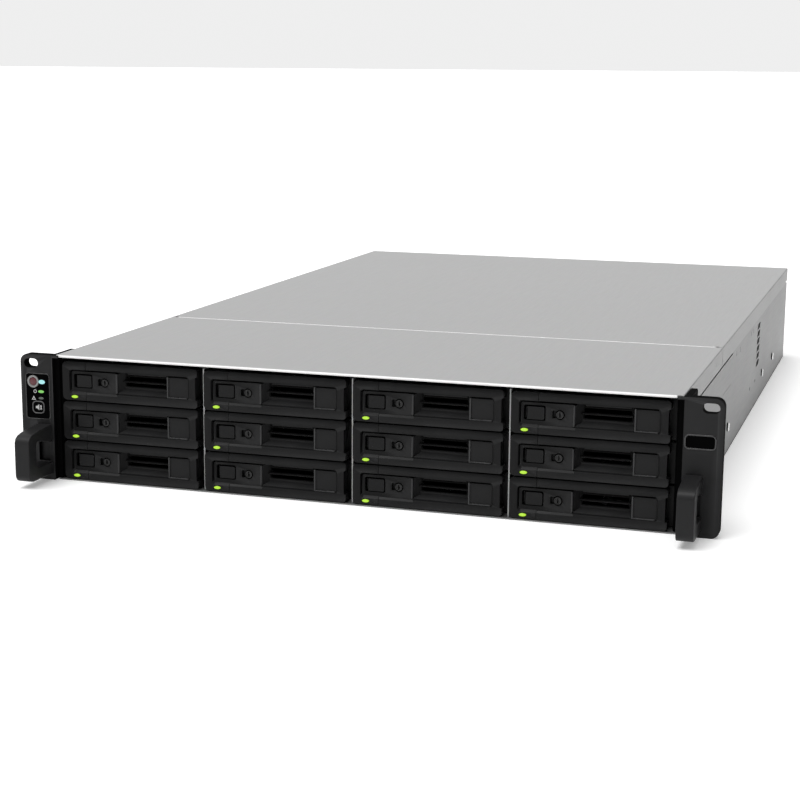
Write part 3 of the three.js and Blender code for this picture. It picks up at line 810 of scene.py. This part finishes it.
# Drive cage: three bright plates between the columns, black liners at the two ends; the liners' black is painted shade
# for the gaps beside the trays.
plates = []
for i in (1, 2, 3):
    x = TRAY_X0 + i * PITCH_X
    plates.append(box(x - 1.5, -324.3, 0.95, x - 0.5, -160, 84.6))
    for j in (1, 2):
        z = TRAY_Z0 + j * PITCH_Z
        plates.append(box(x - 3.0, -315, z - 0.4, x - 1.4, -162, z + 0.1))
        plates.append(box(x - 0.6, -315, z - 0.4, x + 1.0, -162, z + 0.1))
cage = merge("cage", *plates)
bevel(cage, 0.12, 1, 40, clean=False)
finish_piece(cage, "drive_cage_plates", MAT_INNER, "chassis")
liners = []
for s in (1, -1):
    x = TRAY_X0 if s < 0 else TRAY_X0 + 4 * PITCH_X
    x0, x1 = (x - 1.5, x - 0.5)
    liners.append(box(x0, -324.3, 0.95, x1, -160, 84.6))
    for j in (1, 2):
        z = TRAY_Z0 + j * PITCH_Z
        a, b = (x - 0.6, x + 1.0) if s < 0 else (x - 3.0, x - 1.4)
        liners.append(box(a, -315, z - 0.4, b, -162, z + 0.1))
    a, b = sorted((s * 213.0, s * 216.4))
    liners.append(box(a, -326.5, 0.95, b, -320.2, 86.1))
    a, b = (-216.4, -211.2) if s < 0 else (212.4, 216.4)
    liners.append(box(a, -324.2, 0.95, b, -322.4, 86.1))
liner = merge("liner", *liners)
bevel(liner, 0.15, 1, 40, clean=False)
finish_piece(liner, "drive_cage_shade_liners", MAT_BLACK_AND_SHADE, "chassis")
# Black crossbar above the trays: painted shade for the dark gap under the hem.
bar = prism("x", [(-322.0, 84.9), (-322.0, 86.3), (-300, 86.3), (-300, 85.6), (-321.2, 85.6), (-321.2, 84.9)], -211.5, 211.5)
finish_piece(bar, "drive_cage_top_shade_bar", MAT_BLACK_AND_SHADE, "chassis")


def rear_wall():
    h = BODY_HALF - 1.6
    cuts = [
        ("-", box(PSU_X[0] - 0.8, 340, PSU_Z[0][0] - 0.6, PSU_X[1] + 0.8, 355, PSU_Z[0][1] + 0.8)),
        ("-", box(PSU_X[0] - 0.8, 340, PSU_Z[1][0] - 0.8, PSU_X[1] + 0.8, 355, PSU_Z[1][1] + 0.8)),
        ("-", box(-64, 340, 8.5, 64, 355, 31.5)),
        ("-", box(-190, 340, 12, -80, 355, 30)),
    ]
    cuts += [("-", prism("y", rounded(-196 + 35 * k, -166 + 35 * k, 40, 78, 1.5, 3), 340, 355)) for k in range(9)]
    ob = boolean(box(-h, 349, 0.95, h, 350.5, 86.2), *cuts)
    bevel(ob, 0.15, 2, 40)
    return ob


finish_piece(rear_wall(), "rear_wall", MAT_SIDE_SHADE, "chassis")


def hex_sheet(x0, x1, z0, z1, y0, y1, pitch=3.7, bar=0.75):
    """Perforated sheet with a honeycomb of holes."""
    verts, faces = [], []
    R = pitch / math.sqrt(3)
    ri = (pitch - bar) / math.sqrt(3)
    nx = int((x1 - x0) / pitch) + 1
    nz = int((z1 - z0) / (1.5 * R)) + 1
    for j in range(nz):
        for i in range(nx):
            cx = x0 + pitch * (i + (0.5 if j % 2 else 0.0)) + 0.5 * (x1 - x0 - (nx - 1) * pitch)
            cz = z0 + 1.5 * R * j + 0.5 * (z1 - z0 - (nz - 1) * 1.5 * R)
            b = len(verts)
            for y, rad in ((y1, R), (y1, ri), (y0, ri), (y0, R)):
                for k in range(6):
                    t = math.radians(60 * k + 30)
                    verts.append((cx + rad * math.cos(t), y, cz + rad * math.sin(t)))
            for k in range(6):
                m = (k + 1) % 6
                faces.append((b + k, b + m, b + 6 + m, b + 6 + k))
                faces.append((b + 6 + k, b + 6 + m, b + 12 + m, b + 12 + k))
                faces.append((b + 12 + k, b + 12 + m, b + 18 + m, b + 18 + k))
    return verts, faces


gv, gf = [], []
for k in range(9):
    v, f = hex_sheet(-196 + 35 * k - 1, -166 + 35 * k + 1, 39.5, 78.5, 348.3, 348.9)
    n0 = len(gv)
    gv += v
    gf += [tuple(n0 + i for i in q) for q in f]
gm = bpy.data.meshes.new("grille")
gm.from_pydata(gv, [], gf)
grille = _link("grille", gm)
bm = bmesh.new()
bm.from_mesh(gm)
bmesh.ops.remove_doubles(bm, verts=bm.verts, dist=1e-3)
bmesh.ops.recalc_face_normals(bm, faces=bm.faces)
bm.to_mesh(gm)
bm.free()
finish_piece(grille, "rear_grille", MAT_SIDE_SHADE, "chassis", weighted=False)


def screw_heads(at, axis="y", r=2.9, out=0.75, sink=0.0):
    """Cross-slot pan heads; at holds (x, y, z) of each seat, the head stands out along +axis (or its sign)."""
    made = []
    for x, y, z, sign in at:
        verts, faces = [], []
        n = 20
        prof = [(0.0, r), (0.45 * out, r), (0.85 * out, r * 0.86), (out, r * 0.6)]
        for d, rad in prof:
            for i in range(n):
                t = i / n * 2 * math.pi
                a, b = rad * math.cos(t), rad * math.sin(t)
                verts.append((x + a, y + sign * d, z + b) if axis == "y" else (x + a, y + b, z + sign * d) if axis == "z" else (x + sign * d, y + a, z + b))
        for k in range(len(prof) - 1):
            for i in range(n):
                j = (i + 1) % n
                faces.append((k * n + i, k * n + j, (k + 1) * n + j, (k + 1) * n + i))
        faces.append(tuple(range(n)))
        faces.append(tuple(3 * n + i for i in reversed(range(n))))
        me = bpy.data.meshes.new("head")
        me.from_pydata(verts, [], faces)
        bm = bmesh.new()
        bm.from_mesh(me)
        bmesh.ops.recalc_face_normals(bm, faces=bm.faces)
        bm.to_mesh(me)
        bm.free()
        ob = _link("head", me)
        e, w = r * 0.62, r * 0.16
        if axis == "y":
            tools = [box(x - e, y + sign * out - 0.35, z - w, x + e, y + sign * out + 0.35, z + w), box(x - w, y + sign * out - 0.35, z - e, x + w, y + sign * out + 0.35, z + e)]
        elif axis == "z":
            tools = [box(x - e, y - w, z + sign * out - 0.35, x + e, y + w, z + sign * out + 0.35), box(x - w, y - e, z + sign * out - 0.35, x + w, y + e, z + sign * out + 0.35)]
        else:
            tools = [box(x + sign * out - 0.35, y - e, z - w, x + sign * out + 0.35, y + e, z + w), box(x + sign * out - 0.35, y - w, z - e, x + sign * out + 0.35, y + w, z + e)]
        made.append(boolean(ob, *[("-", t) for t in tools]))
    return merge("screws", *made)


rear_screws = screw_heads([(x, 350.5, z, 1) for x in (-209, -72, 70, 127) for z in (35.5, 82)] + [(-72, 350.5, 6, 1), (70, 350.5, 6, 1)])
finish_piece(rear_screws, "rear_wall_screws", MAT_SCREW, "chassis", angle=30, weighted=False)


# ------------------------------------------------------------------ main board and its rear ports
def ports():
    """Shielded port block at the middle, open towards the back: four network jacks, two twin universal serial bus ports."""
    shell = boolean(box(-62, 326, 9.2, 62, 351.8, 29.3), *[("-", prism("y", rounded(-60 + 17.4 * k, -60 + 17.4 * k + 14.6, 11.0, 24.2, 0.5, 2), 338, 353)) for k in range(4)])
    shell = boolean(shell, *[("-", box(-60 + 17.4 * k + 4.0, 338, 24.0, -60 + 17.4 * k + 10.6, 353, 27.2)) for k in range(4)])
    shell = boolean(shell, *[("-", box(14.5 + 17.0 * k, 339, z, 14.5 + 17.0 * k + 13.2, 353, z + 5.6)) for k in range(2) for z in (11.6, 20.6)])
    shell = boolean(shell, ("-", prism("y", disc(54.5, 15.5, 3.0, 24), 340, 353)), ("-", prism("y", rounded(49.0, 60.0, 21.4, 26.2, 1.0, 3), 343, 353)))
    bevel(shell, 0.2, 2, 40)
    return shell


finish_piece(ports(), "rear_port_block", MAT_PORT, "chassis", ("mainboard",))
tongues = []
for k in range(2):
    for z in (11.6, 20.6):
        tongues.append(box(15.4 + 17.0 * k, 340, z + 2.9, 26.8 + 17.0 * k, 350.6, z + 4.7))
for k in range(4):
    tongues.append(box(-60 + 17.4 * k + 2.0, 339, 22.0, -60 + 17.4 * k + 12.6, 349.5, 23.4))
    for j in range(8):
        tongues.append(box(-60 + 17.4 * k + 2.6 + 1.25 * j, 341, 20.9, -60 + 17.4 * k + 3.1 + 1.25 * j, 349.8, 21.9))
finish_piece(merge("tongues", *tongues), "port_contacts", MAT_CONTACT, "chassis")
cage_left = boolean(
    box(-188, 330, 12.8, -82, 350.9, 28.3),
    *[("-", prism("y", rounded(-186 + 26.2 * k, -186 + 26.2 * k + 23.6, 14.6, 26.6, 0.6, 3), 333, 352)) for k in range(4)],
)
bevel(cage_left, 0.2, 2, 40)
finish_piece(cage_left, "expansion_port_block", MAT_PORT, "chassis")
shutters = [box(-185.6 + 26.2 * k, 341, 15.0, -185.6 + 26.2 * k + 22.8, 342, 26.2) for k in range(4)]
tray_ledges = [box(-184 + 26.2 * k, 342.0, 19.6, -184 + 26.2 * k + 19.6, 348.5, 21.2) for k in range(4)]
finish_piece(merge("shutters", *shutters, *tray_ledges), "expansion_port_shutters", MAT_BLACK_AND_SHADE, "chassis")
pcb = boolean(
    box(-205, -60, 6, 126, 346, 7.6),
    *[("-", prism("z", disc(x, y, 2.0, 16), 5, 9)) for x, y in ((-200, 30), (-200, 300), (121, 30), (121, 300))],
)
bevel(pcb, 0.1, 1, 40)
finish_piece(pcb, "circuit_board", MAT_BOARD, "chassis")
fins = [box(-80, 40, 7.6, 10, 130, 14)] + [box(-80 + 4.45 * k, 40, 13.5, -79 + 4.45 * k, 130, 52) for k in range(21)]
finish_piece(merge("fins", *fins), "heat_sink", MAT_PORT, "chassis", weighted=False)
dimms = []
for k in range(4):
    x = -160 + 12 * k
    dimms += [box(x - 1, 18, 7.6, x + 4, 157, 13), box(x + 0.8, 22, 12, x + 2.2, 153, 37)]
    dimms += [box(x + 0.1, 30 + 15 * j, 18, x + 2.9, 41 + 15 * j, 32) for j in range(8)]
finish_piece(merge("dimms", *dimms), "memory_modules", MAT_BOARD, "chassis", weighted=False)
posts = [box(x - 3, y - 3, PAN + 0.1, x + 3, y + 3, 6.2) for x, y in ((-198, -50), (118, -50), (-198, 200), (118, 200), (-40, -50), (-40, 200))]
finish_piece(merge("posts", *posts), "board_standoffs", MAT_SCREW, "chassis")


# ------------------------------------------------------------------ power supplies
def supply(k):
    z0, z1 = PSU_Z[k]
    x0, x1 = PSU_X
    y0, y1 = PSU_Y
    zc = (z0 + z1) / 2
    body = "power_supply_%d" % (k + 1)
    n = k + 1
    case = boolean(
        box(x0, y0, z0, x1, y1, z1),
        ("-", prism("y", rounded(x0 + 5.8, x0 + 34.2, zc - 11.2, zc + 9.2, (1, 1, 4, 4), 4), y1 - 14.5, y1 + 1)),
        ("-", prism("y", disc(x1 - 19, zc, 16.5, 40), y1 - 9, y1 + 1)),
    )
    bevel(case, 0.35, 2, 40)
    finish_piece(case, "supply_case_%d" % n, MAT_PSU, body, (body,))
    inlet = boolean(
        prism("y", rounded(x0 + 5.9, x0 + 34.1, zc - 11.1, zc + 9.1, (1, 1, 4, 4), 4), y1 - 14.4, y1 + 0.25),
        ("-", prism("y", rounded(x0 + 8.2, x0 + 31.8, zc - 8.8, zc + 6.8, (0.8, 0.8, 3.4, 3.4), 4), y1 - 13.0, y1 + 1)),
        ("+", prism("y", rounded(x0 + 11.6, x0 + 28.4, zc - 6.0, zc + 4.2, (0.6, 0.6, 2.4, 2.4), 4), y1 - 13.6, y1 - 3.0)),
    )
    bevel(inlet, 0.25, 2, 40)
    finish_piece(inlet, "mains_inlet_%d" % n, MAT_BLACK_AND_SHADE, body)
    pins = [
        box(x0 + 14.4 - 1.0, y1 - 4.5, zc - 4.2, x0 + 14.4 + 1.0, y1 - 2.0, zc - 0.2),
        box(x0 + 25.6 - 1.0, y1 - 4.5, zc - 4.2, x0 + 25.6 + 1.0, y1 - 2.0, zc - 0.2),
        box(x0 + 20.0 - 1.0, y1 - 4.5, zc - 0.6, x0 + 20.0 + 1.0, y1 - 2.0, zc + 3.4),
    ]
    pin = merge("pins", *pins)
    bevel(pin, 0.3, 2, 40, clean=False)
    finish_piece(pin, "mains_inlet_pins_%d" % n, MAT_PORT, body)
    # Fan: rotor with seven swept blades, wire finger guard.
    cx = x1 - 19
    hub = boolean(prism("y", disc(cx, zc, 6.8, 32), y1 - 8.8, y1 - 1.8))
    bevel(hub, 0.5, 2, 40)
    blades = [hub]
    for i in range(7):
        t0 = i / 7 * 2 * math.pi
        pts_v, pts_f = [], []
        for q in range(5):
            rad = 6.2 + 9.4 * q / 4
            sweep = 0.35 * q / 4
            for dy, dt in ((y1 - 7.6, 0.0), (y1 - 3.0, 0.55), (y1 - 3.5, 0.60), (y1 - 8.1, 0.05)):
                a = t0 + sweep + dt
                pts_v.append((cx + rad * math.cos(a), dy, zc + rad * math.sin(a)))
        for q in range(4):
            for j in range(4):
                m = (j + 1) % 4
                pts_f.append((q * 4 + j, q * 4 + m, q * 4 + 4 + m, q * 4 + 4 + j))
        pts_f.append((0, 1, 2, 3))
        pts_f.append((19, 18, 17, 16))
        me = bpy.data.meshes.new("blade")
        me.from_pydata(pts_v, [], pts_f)
        bm2 = bmesh.new()
        bm2.from_mesh(me)
        bmesh.ops.recalc_face_normals(bm2, faces=bm2.faces)
        bm2.to_mesh(me)
        bm2.free()
        blades.append(_link("blade", me))
    finish_piece(merge("rotor", *blades), "supply_fan_rotor_%d" % n, MAT_FAN, body, angle=45, weighted=False)
    rings = []
    for rad in (5.0, 8.8, 12.6, 16.4):
        c = bpy.data.meshes.new("ring")
        V, F = [], []
        for i in range(40):
            t = i / 40 * 2 * math.pi
            for j in range(8):
                u = j / 8 * 2 * math.pi
                V.append((cx + (rad + 0.55 * math.cos(u)) * math.cos(t), y1 + 0.2 + 0.55 * math.sin(u), zc + (rad + 0.55 * math.cos(u)) * math.sin(t)))
        for i in range(40):
            for j in range(8):
                F.append((i * 8 + j, ((i + 1) % 40) * 8 + j, ((i + 1) % 40) * 8 + (j + 1) % 8, i * 8 + (j + 1) % 8))
        c.from_pydata(V, [], F)
        rings.append(_link("ring", c))
    for a in (math.radians(45), math.radians(135)):
        dx, dz = math.cos(a), math.sin(a)
        L, w = 18.6, 0.55
        rings.append(prism("y", [(cx - L * dx - w * dz, zc - L * dz + w * dx), (cx + L * dx - w * dz, zc + L * dz + w * dx), (cx + L * dx + w * dz, zc + L * dz - w * dx), (cx - L * dx + w * dz, zc - L * dz - w * dx)], y1 - 0.3, y1 + 0.5))
    guard = merge("guard", *rings)
    bm2 = bmesh.new()
    bm2.from_mesh(guard.data)
    bmesh.ops.recalc_face_normals(bm2, faces=bm2.faces)
    bm2.to_mesh(guard.data)
    bm2.free()
    finish_piece(guard, "supply_fan_guard_%d" % n, MAT_SCREW, body, angle=45, weighted=False)
    handle = boolean(
        prism("x", [(y1 - 0.4, zc - 17.4), (y1 + 5.2, zc - 17.4), (BACK_Y - 1.8, zc - 16.4), (BACK_Y - 0.5, zc - 13.8), (BACK_Y - 0.5, zc + 13.8), (BACK_Y - 1.8, zc + 16.4), (y1 + 5.2, zc + 17.4), (y1 - 0.4, zc + 17.4)], x1 - 36.4, x1 - 33.1),
        ("-", prism("x", [(y1 + 0.01, zc - 13.6), (y1 + 3.6, zc - 13.6), (BACK_Y - 3.4, zc - 11.8), (BACK_Y - 3.4, zc + 11.8), (y1 + 3.6, zc + 13.6), (y1 + 0.01, zc + 13.6)], x1 - 38, x1 - 30)),
    )
    bevel(handle, 0.9, 3, 40)
    finish_piece(handle, "supply_handle_%d" % n, MAT_EAR, body)
    latch = boolean(
        box(x0 + 6.5, y1 - 0.3, zc + 11.4, x0 + 26, y1 + 2.6, zc + 17.4),
        ("-", box(x0 + 8.5, y1 + 1.4, zc + 13.0, x0 + 24, y1 + 3.5, zc + 15.8)),
    )
    bevel(latch, 0.6, 3, 40)
    finish_piece(latch, "supply_latch_%d" % n, MAT_LATCH, body)
    led = lens(x0 + 30.5, zc + 14.6, 1.5, 1.5, -y1 - 0.35, -y1 - 0.05)
    led.data.transform(Matrix.Scale(-1, 4, (0, 1, 0)))
    led.data.flip_normals()
    finish_piece(led, "supply_light_%d" % n, MAT_LED_GREEN, body, angle=60, weighted=False)


supply(0)
supply(1)


# ------------------------------------------------------------------ rack ears
def mirror_outline(o):
    return [(-a, b) for a, b in reversed(o)]


def ear(side):
    flip = (lambda o: o) if side > 0 else mirror_outline
    span = lambda a, b: (a, b) if side > 0 else (-b, -a)
    t1 = EAR_Y + EAR_THICK
    plate = prism("y", flip(rounded(216.5, 241, 0, HEIGHT, (1, 5.5, 5.5, 1), 8)), EAR_Y, t1)
    outline = [(-328.8, 39.5), (-336, 39.2), (-346, 38.6), (-354, 37.6), (-358.4, 36.5), (-360.8, 34.8), (-361.9, 32.2), (-362, 30), (-362, 10), (-361.6, 8.0), (-360.4, 6.2), (-358.6, 5.1), (-356, 4.6), (-328.8, 4.6)]
    finger = [(EAR_Y, 27), (-336, 28.8), (-343, 30.6), (-347.5, 31.4), (-350.4, 30.8), (-351.5, 28.6), (-351.5, 16.6), (-350.8, 14.8), (-349, 13.6), (-346.5, 13.2), (EAR_Y, 13)]
    finger_cut = [(EAR_Y, 27), (-336, 28.8), (-343, 30.6), (-347.5, 31.4), (-350.4, 30.8), (-351.5, 28.6), (-351.5, 16.6), (-350.8, 14.8), (-349, 13.6), (-346.5, 13.2), (EAR_Y, 13)]
    g0, g1 = span(218.5, 229.5)
    grip = boolean(prism("x", outline, g0, g1), ("-", prism("x", finger_cut, g0 - 1, g1 + 1)))
    bevel(grip, 1.3, 4, 50)
    tab0, tab1 = span(212.2, 217.5)
    k0, k1 = span(220, 228.6)
    plate = boolean(
        plate,
        ("+", box(tab0, EAR_Y, 86.2, tab1, EAR_Y + 1.3, HEIGHT)),
        ("-", prism("y", flip(rounded(232.9 - 5.3, 232.9 + 5.3, 81.75 - 3.2, 81.75 + 3.2, 3.15, 8)), EAR_Y - 1, t1 + 1)),
    )
    bevel(plate, 0.55, 3, 40)
    ob = boolean(plate, ("+", grip), ("-", box(k0, EAR_Y - 1, 13.4, k1, EAR_Y + 3, 26.6)))
    if side > 0:
        ob = boolean(ob, ("-", prism("y", rounded(217.6, 236.3, 56, 64.4, 1.4, 5), EAR_Y - 1, EAR_Y + 0.8)))
    else:
        ob = boolean(
            ob,
            ("-", prism("y", rounded(-237, -219.2, 43, 74.5, 2.0, 5), EAR_Y - 1, EAR_Y + 0.8)),
            ("-", prism("y", disc(-231.8, 68.9, 4.7, 40), EAR_Y - 1, EAR_Y + 5.6)),
            ("-", prism("y", rounded(-233.1, -223.3, 46.2, 55.6, 3, 6), EAR_Y - 1, EAR_Y + 5.6)),
        )
    bevel(ob, 0.25, 2, 50)
    return ob


for s, side in ((1, "right"), (-1, "left")):
    f0, f1 = sorted((s * 215.8, s * 219.8))
    flange = prism("x", [(EAR_Y + EAR_THICK - 0.6, 0.6), (-297, 0.6), (-295, 2.6), (-295, 85.4), (-297, 87.4), (EAR_Y + EAR_THICK - 0.6, 87.4)], f0, f1)
    bevel(flange, 0.3, 2, 40)
    finish_piece(flange, "ear_flange_" + side, MAT_BLACK_AND_SHADE, "chassis")
finish_piece(ear(1), "ear_right", MAT_EAR, "chassis", ("right_ear",))
finish_piece(ear(-1), "ear_left", MAT_EAR, "chassis", ("left_ear",))
# The ears' narrow edges behind the front radius get the near-black material: painted shade on their side and top faces.
for name in ("ear_right", "ear_left"):
    me = bpy.data.objects[name].data
    me.materials.append(MAT_BLACK_AND_SHADE)
    for poly in me.polygons:
        if poly.center.y > (EAR_Y + 0.75) / 1000 and abs(poly.normal.y) < 0.5:
            poly.material_index = 1



def frame_ring(a0, a1, b0, b1, rad, wide, name):
    """Narrow raised frame round a plate that is set into an ear."""
    ob = boolean(
        prism("y", rounded(a0 - wide, a1 + wide, b0 - wide, b1 + wide, rad + wide, 6), EAR_Y - 0.55, EAR_Y + 0.3),
        ("-", prism("y", rounded(a0, a1, b0, b1, rad, 6), EAR_Y - 1, EAR_Y + 1)),
    )
    bevel(ob, 0.32, 3, 40)
    return finish_piece(ob, name, MAT_FRAME, "chassis")


# Blank name plate, set into the right ear.
plate = prism("y", rounded(218.3, 235.8, 56.6, 64.0, 1.9, 6), EAR_Y + 0.1, EAR_Y + 0.78)
bevel(plate, 0.18, 2)
finish_piece(plate, "name_plate_blank", MAT_PANEL, "chassis")
frame_ring(218.2, 235.9, 56.5, 64.1, 2.0, 1.05, "name_plate_frame")

# Control panel on the left ear.
panel = boolean(
    prism("y", rounded(-236.8, -219.4, 43.2, 74.3, 1.8, 6), EAR_Y + 0.1, EAR_Y + 0.78),
    ("-", prism("y", disc(-231.8, 68.9, 4.7, 40), EAR_Y - 1, EAR_Y + 2)),
    ("-", prism("y", rounded(-233.1, -223.3, 46.2, 55.6, 3, 6), EAR_Y - 1, EAR_Y + 2)),
)
bevel(panel, 0.15, 2)
finish_piece(panel, "control_panel", MAT_PANEL, "chassis")
frame_ring(-236.9, -219.3, 43.1, 74.4, 1.9, 0.6, "control_panel_frame")

# Power button: pale rim, red cap.
rim = boolean(
    prism("y", disc(-231.8, 68.9, 4.35, 48), EAR_Y - 0.2, EAR_Y + 4),
    ("-", prism("y", disc(-231.8, 68.9, 3.0, 48), EAR_Y - 1, EAR_Y + 0.6)),
)
bevel(rim, 0.25, 3)
finish_piece(rim, "power_button_rim", MAT_RIM, "power_button", ("power_button",))
cap = lens(-231.8, 68.9, 2.8, 2.8, EAR_Y - 0.1, EAR_Y + 0.35, 40, 6)
finish_piece(cap, "power_button_cap", MAT_RED, "power_button", angle=60, weighted=False)

# Mute button: pale rim, dark face, pale loudspeaker mark.
rim = boolean(
    prism("y", rounded(-232.8, -223.6, 46.5, 55.3, 2.8, 8), EAR_Y - 0.2, EAR_Y + 4),
    ("-", prism("y", rounded(-232.2, -224.2, 47.1, 54.7, 2.3, 8), EAR_Y - 1, EAR_Y + 0.5)),
)
bevel(rim, 0.2, 3)
finish_piece(rim, "mute_button_rim", MAT_RIM2, "mute_button", ("mute_button",))
face = prism("y", rounded(-232.1, -224.3, 47.2, 54.6, 2.2, 8), EAR_Y + 0.1, EAR_Y + 0.9)
bevel(face, 0.25, 2)
finish_piece(face, "mute_button_face", MAT_PANEL, "mute_button")
mark = prism("y", [(-230.2, 50.1), (-229.2, 50.1), (-227.6, 48.8), (-227.6, 53.0), (-229.2, 51.7), (-230.2, 51.7)], EAR_Y - 0.05, EAR_Y + 0.2)
cross = boolean(
    prism("y", [(-226.9, 52.1), (-226.5, 52.5), (-224.9 - 0.6, 50.5 - 1.0), (-225.9, 49.1)], EAR_Y - 0.05, EAR_Y + 0.2),
    ("+", prism("y", [(-226.9, 49.5), (-226.5, 49.1), (-225.5, 52.1), (-225.9, 52.5)], EAR_Y - 0.05, EAR_Y + 0.2)),
)
mark = merge("mark", mark, cross)
finish_piece(mark, "mute_button_mark", MAT_PRINT, "mute_button")

for name, material, x, z, rx, rz in (
    ("light_power", MAT_LED_BLUE, -225.1, 68.8, 2.5, 1.5),
    ("light_status", MAT_LED_GREEN, -225.8, 62.0, 2.3, 1.0),
    ("light_alert", MAT_LED_OFF, -225.9, 57.3, 2.0, 0.8),
):
    finish_piece(lens(x, z, rx, rz, EAR_Y - 0.1, EAR_Y + 0.1), name, material, "chassis", angle=60, weighted=False)

# Generic marks beside the two lower lights: a ring for status, a triangle for alert.
ring = boolean(
    prism("y", disc(-230.4, 62.0, 1.25, 32), EAR_Y + 0.02, EAR_Y + 0.3),
    ("-", prism("y", disc(-230.4, 62.0, 0.8, 32), EAR_Y - 1, EAR_Y + 1)),
)
finish_piece(ring, "mark_status", MAT_PRINT, "chassis")
tri = boolean(
    prism("y", [(-233.2, 56.0), (-230.0, 56.0), (-231.6, 58.8)], EAR_Y + 0.02, EAR_Y + 0.3),
    ("-", prism("y", [(-232.3, 56.45), (-230.9, 56.45), (-231.6, 57.75)], EAR_Y - 1, EAR_Y + 1)),
)
finish_piece(tri, "mark_alert", MAT_PRINT, "chassis")


# ------------------------------------------------------------------ stage, lights, camera
WORLD, WORLD_FRONT, WORLD_RIGHT = 0.86, 0.80, 0.85
floor_me = bpy.data.meshes.new("floor")
floor_me.from_pydata([(-40, -40, 0), (40, -40, 0), (40, 40, 0), (-40, 40, 0)], [], [(0, 1, 2, 3)])
floor = _link("floor", floor_me)
fm, fnt, fb = new_material("floor_pale")
ftc = fnt.nodes.new("ShaderNodeTexCoord")
fcol = mix_colour(fnt, noise(fnt, ftc.outputs["Object"], 3.0, 2.0), (0.90, 0.90, 0.90, 1), (0.92, 0.92, 0.92, 1))
fnt.links.new(fcol, fb.inputs["Base Color"])
fb.inputs["Roughness"].default_value = 0.9
fb.inputs["Specular IOR Level"].default_value = 0.1
fb.inputs["Emission Color"].default_value = (1, 1, 1, 1)
fb.inputs["Emission Strength"].default_value = 0.24
floor_me.materials.append(fm)

world = bpy.data.worlds.new("studio")
scene.world = world
world.use_nodes = True
wnt = world.node_tree
wb = wnt.nodes["Background"]
# White studio, dimmer low down in front of the unit and to its right.
wtc = wnt.nodes.new("ShaderNodeTexCoord")
wsep = wnt.nodes.new("ShaderNodeSeparateXYZ")
wnt.links.new(wtc.outputs["Generated"], wsep.inputs[0])


def wmath(op, a, b):
    n = wnt.nodes.new("ShaderNodeMath")
    n.operation = op
    for i, v in enumerate((a, b)):
        if isinstance(v, bpy.types.NodeSocket):
            wnt.links.new(v, n.inputs[i])
        else:
            n.inputs[i].default_value = v
    return n.outputs[0]


low = remap(wnt, wsep.outputs[2], 0.45, 0.8, 1.0, 0.0)
ahead = wmath("MULTIPLY", remap(wnt, wsep.outputs[1], -0.75, -0.1, WORLD_FRONT, 0.0), low)
aside = wmath("MULTIPLY", remap(wnt, wsep.outputs[0], 0.15, 0.8, 0.0, WORLD_RIGHT), low)
level = wmath("MULTIPLY", wmath("SUBTRACT", 1.0, ahead), wmath("SUBTRACT", 1.0, aside))
wb.inputs[0].default_value = (1, 1, 1, 1)
wnt.links.new(wmath("MULTIPLY", level, WORLD), wb.inputs[1])


def sun(name, towards, energy, angle):
    li = bpy.data.lights.new(name, "SUN")
    li.energy = energy
    li.angle = angle
    ob = bpy.data.objects.new(name, li)
    scene.collection.objects.link(ob)
    ob.rotation_euler = Vector(towards).to_track_quat("Z", "Y").to_euler()
    return ob


def area(name, at, target, size, energy, size_y=None, colour=(1, 1, 1)):
    li = bpy.data.lights.new(name, "AREA")
    li.energy = energy
    li.color = colour
    li.size = size
    if size_y:
        li.shape = "RECTANGLE"
        li.size_y = size_y
    ob = bpy.data.objects.new(name, li)
    scene.collection.objects.link(ob)
    ob.location = at
    ob.rotation_euler = (Vector(target) - Vector(at)).to_track_quat("-Z", "Y").to_euler()
    return ob


sun("key", (-0.25, -0.30, 0.92), 1.9, 0.7)

AZ, EL, ROLL = math.radians(18.187), math.radians(11.368), math.radians(0.298)
back = Vector((math.sin(AZ) * math.cos(EL), -math.cos(AZ) * math.cos(EL), math.sin(EL)))
right = (-back).cross(Vector((0, 0, 1))).normalized()
up = right.cross(-back).normalized()
r2 = right * math.cos(ROLL) + up * math.sin(ROLL)
u2 = -right * math.sin(ROLL) + up * math.cos(ROLL)
cam_data = bpy.data.cameras.new("camera")
cam = bpy.data.objects.new("camera", cam_data)
scene.collection.objects.link(cam)
cam.matrix_world = Matrix(
    (
        (r2.x, u2.x, back.x, 0.36020),
        (r2.y, u2.y, back.y, -1.35835),
        (r2.z, u2.z, back.z, 0.28978),
        (0, 0, 0, 1),
    )
)
cam_data.sensor_width = 36
cam_data.lens = 1709.8 / 800 * 36
cam_data.shift_x = 0.0225
cam_data.shift_y = 0.0014
cam_data.clip_end = 200
scene.camera = cam
scene.view_settings.view_transform = "Standard"
scene.view_settings.look = "None"
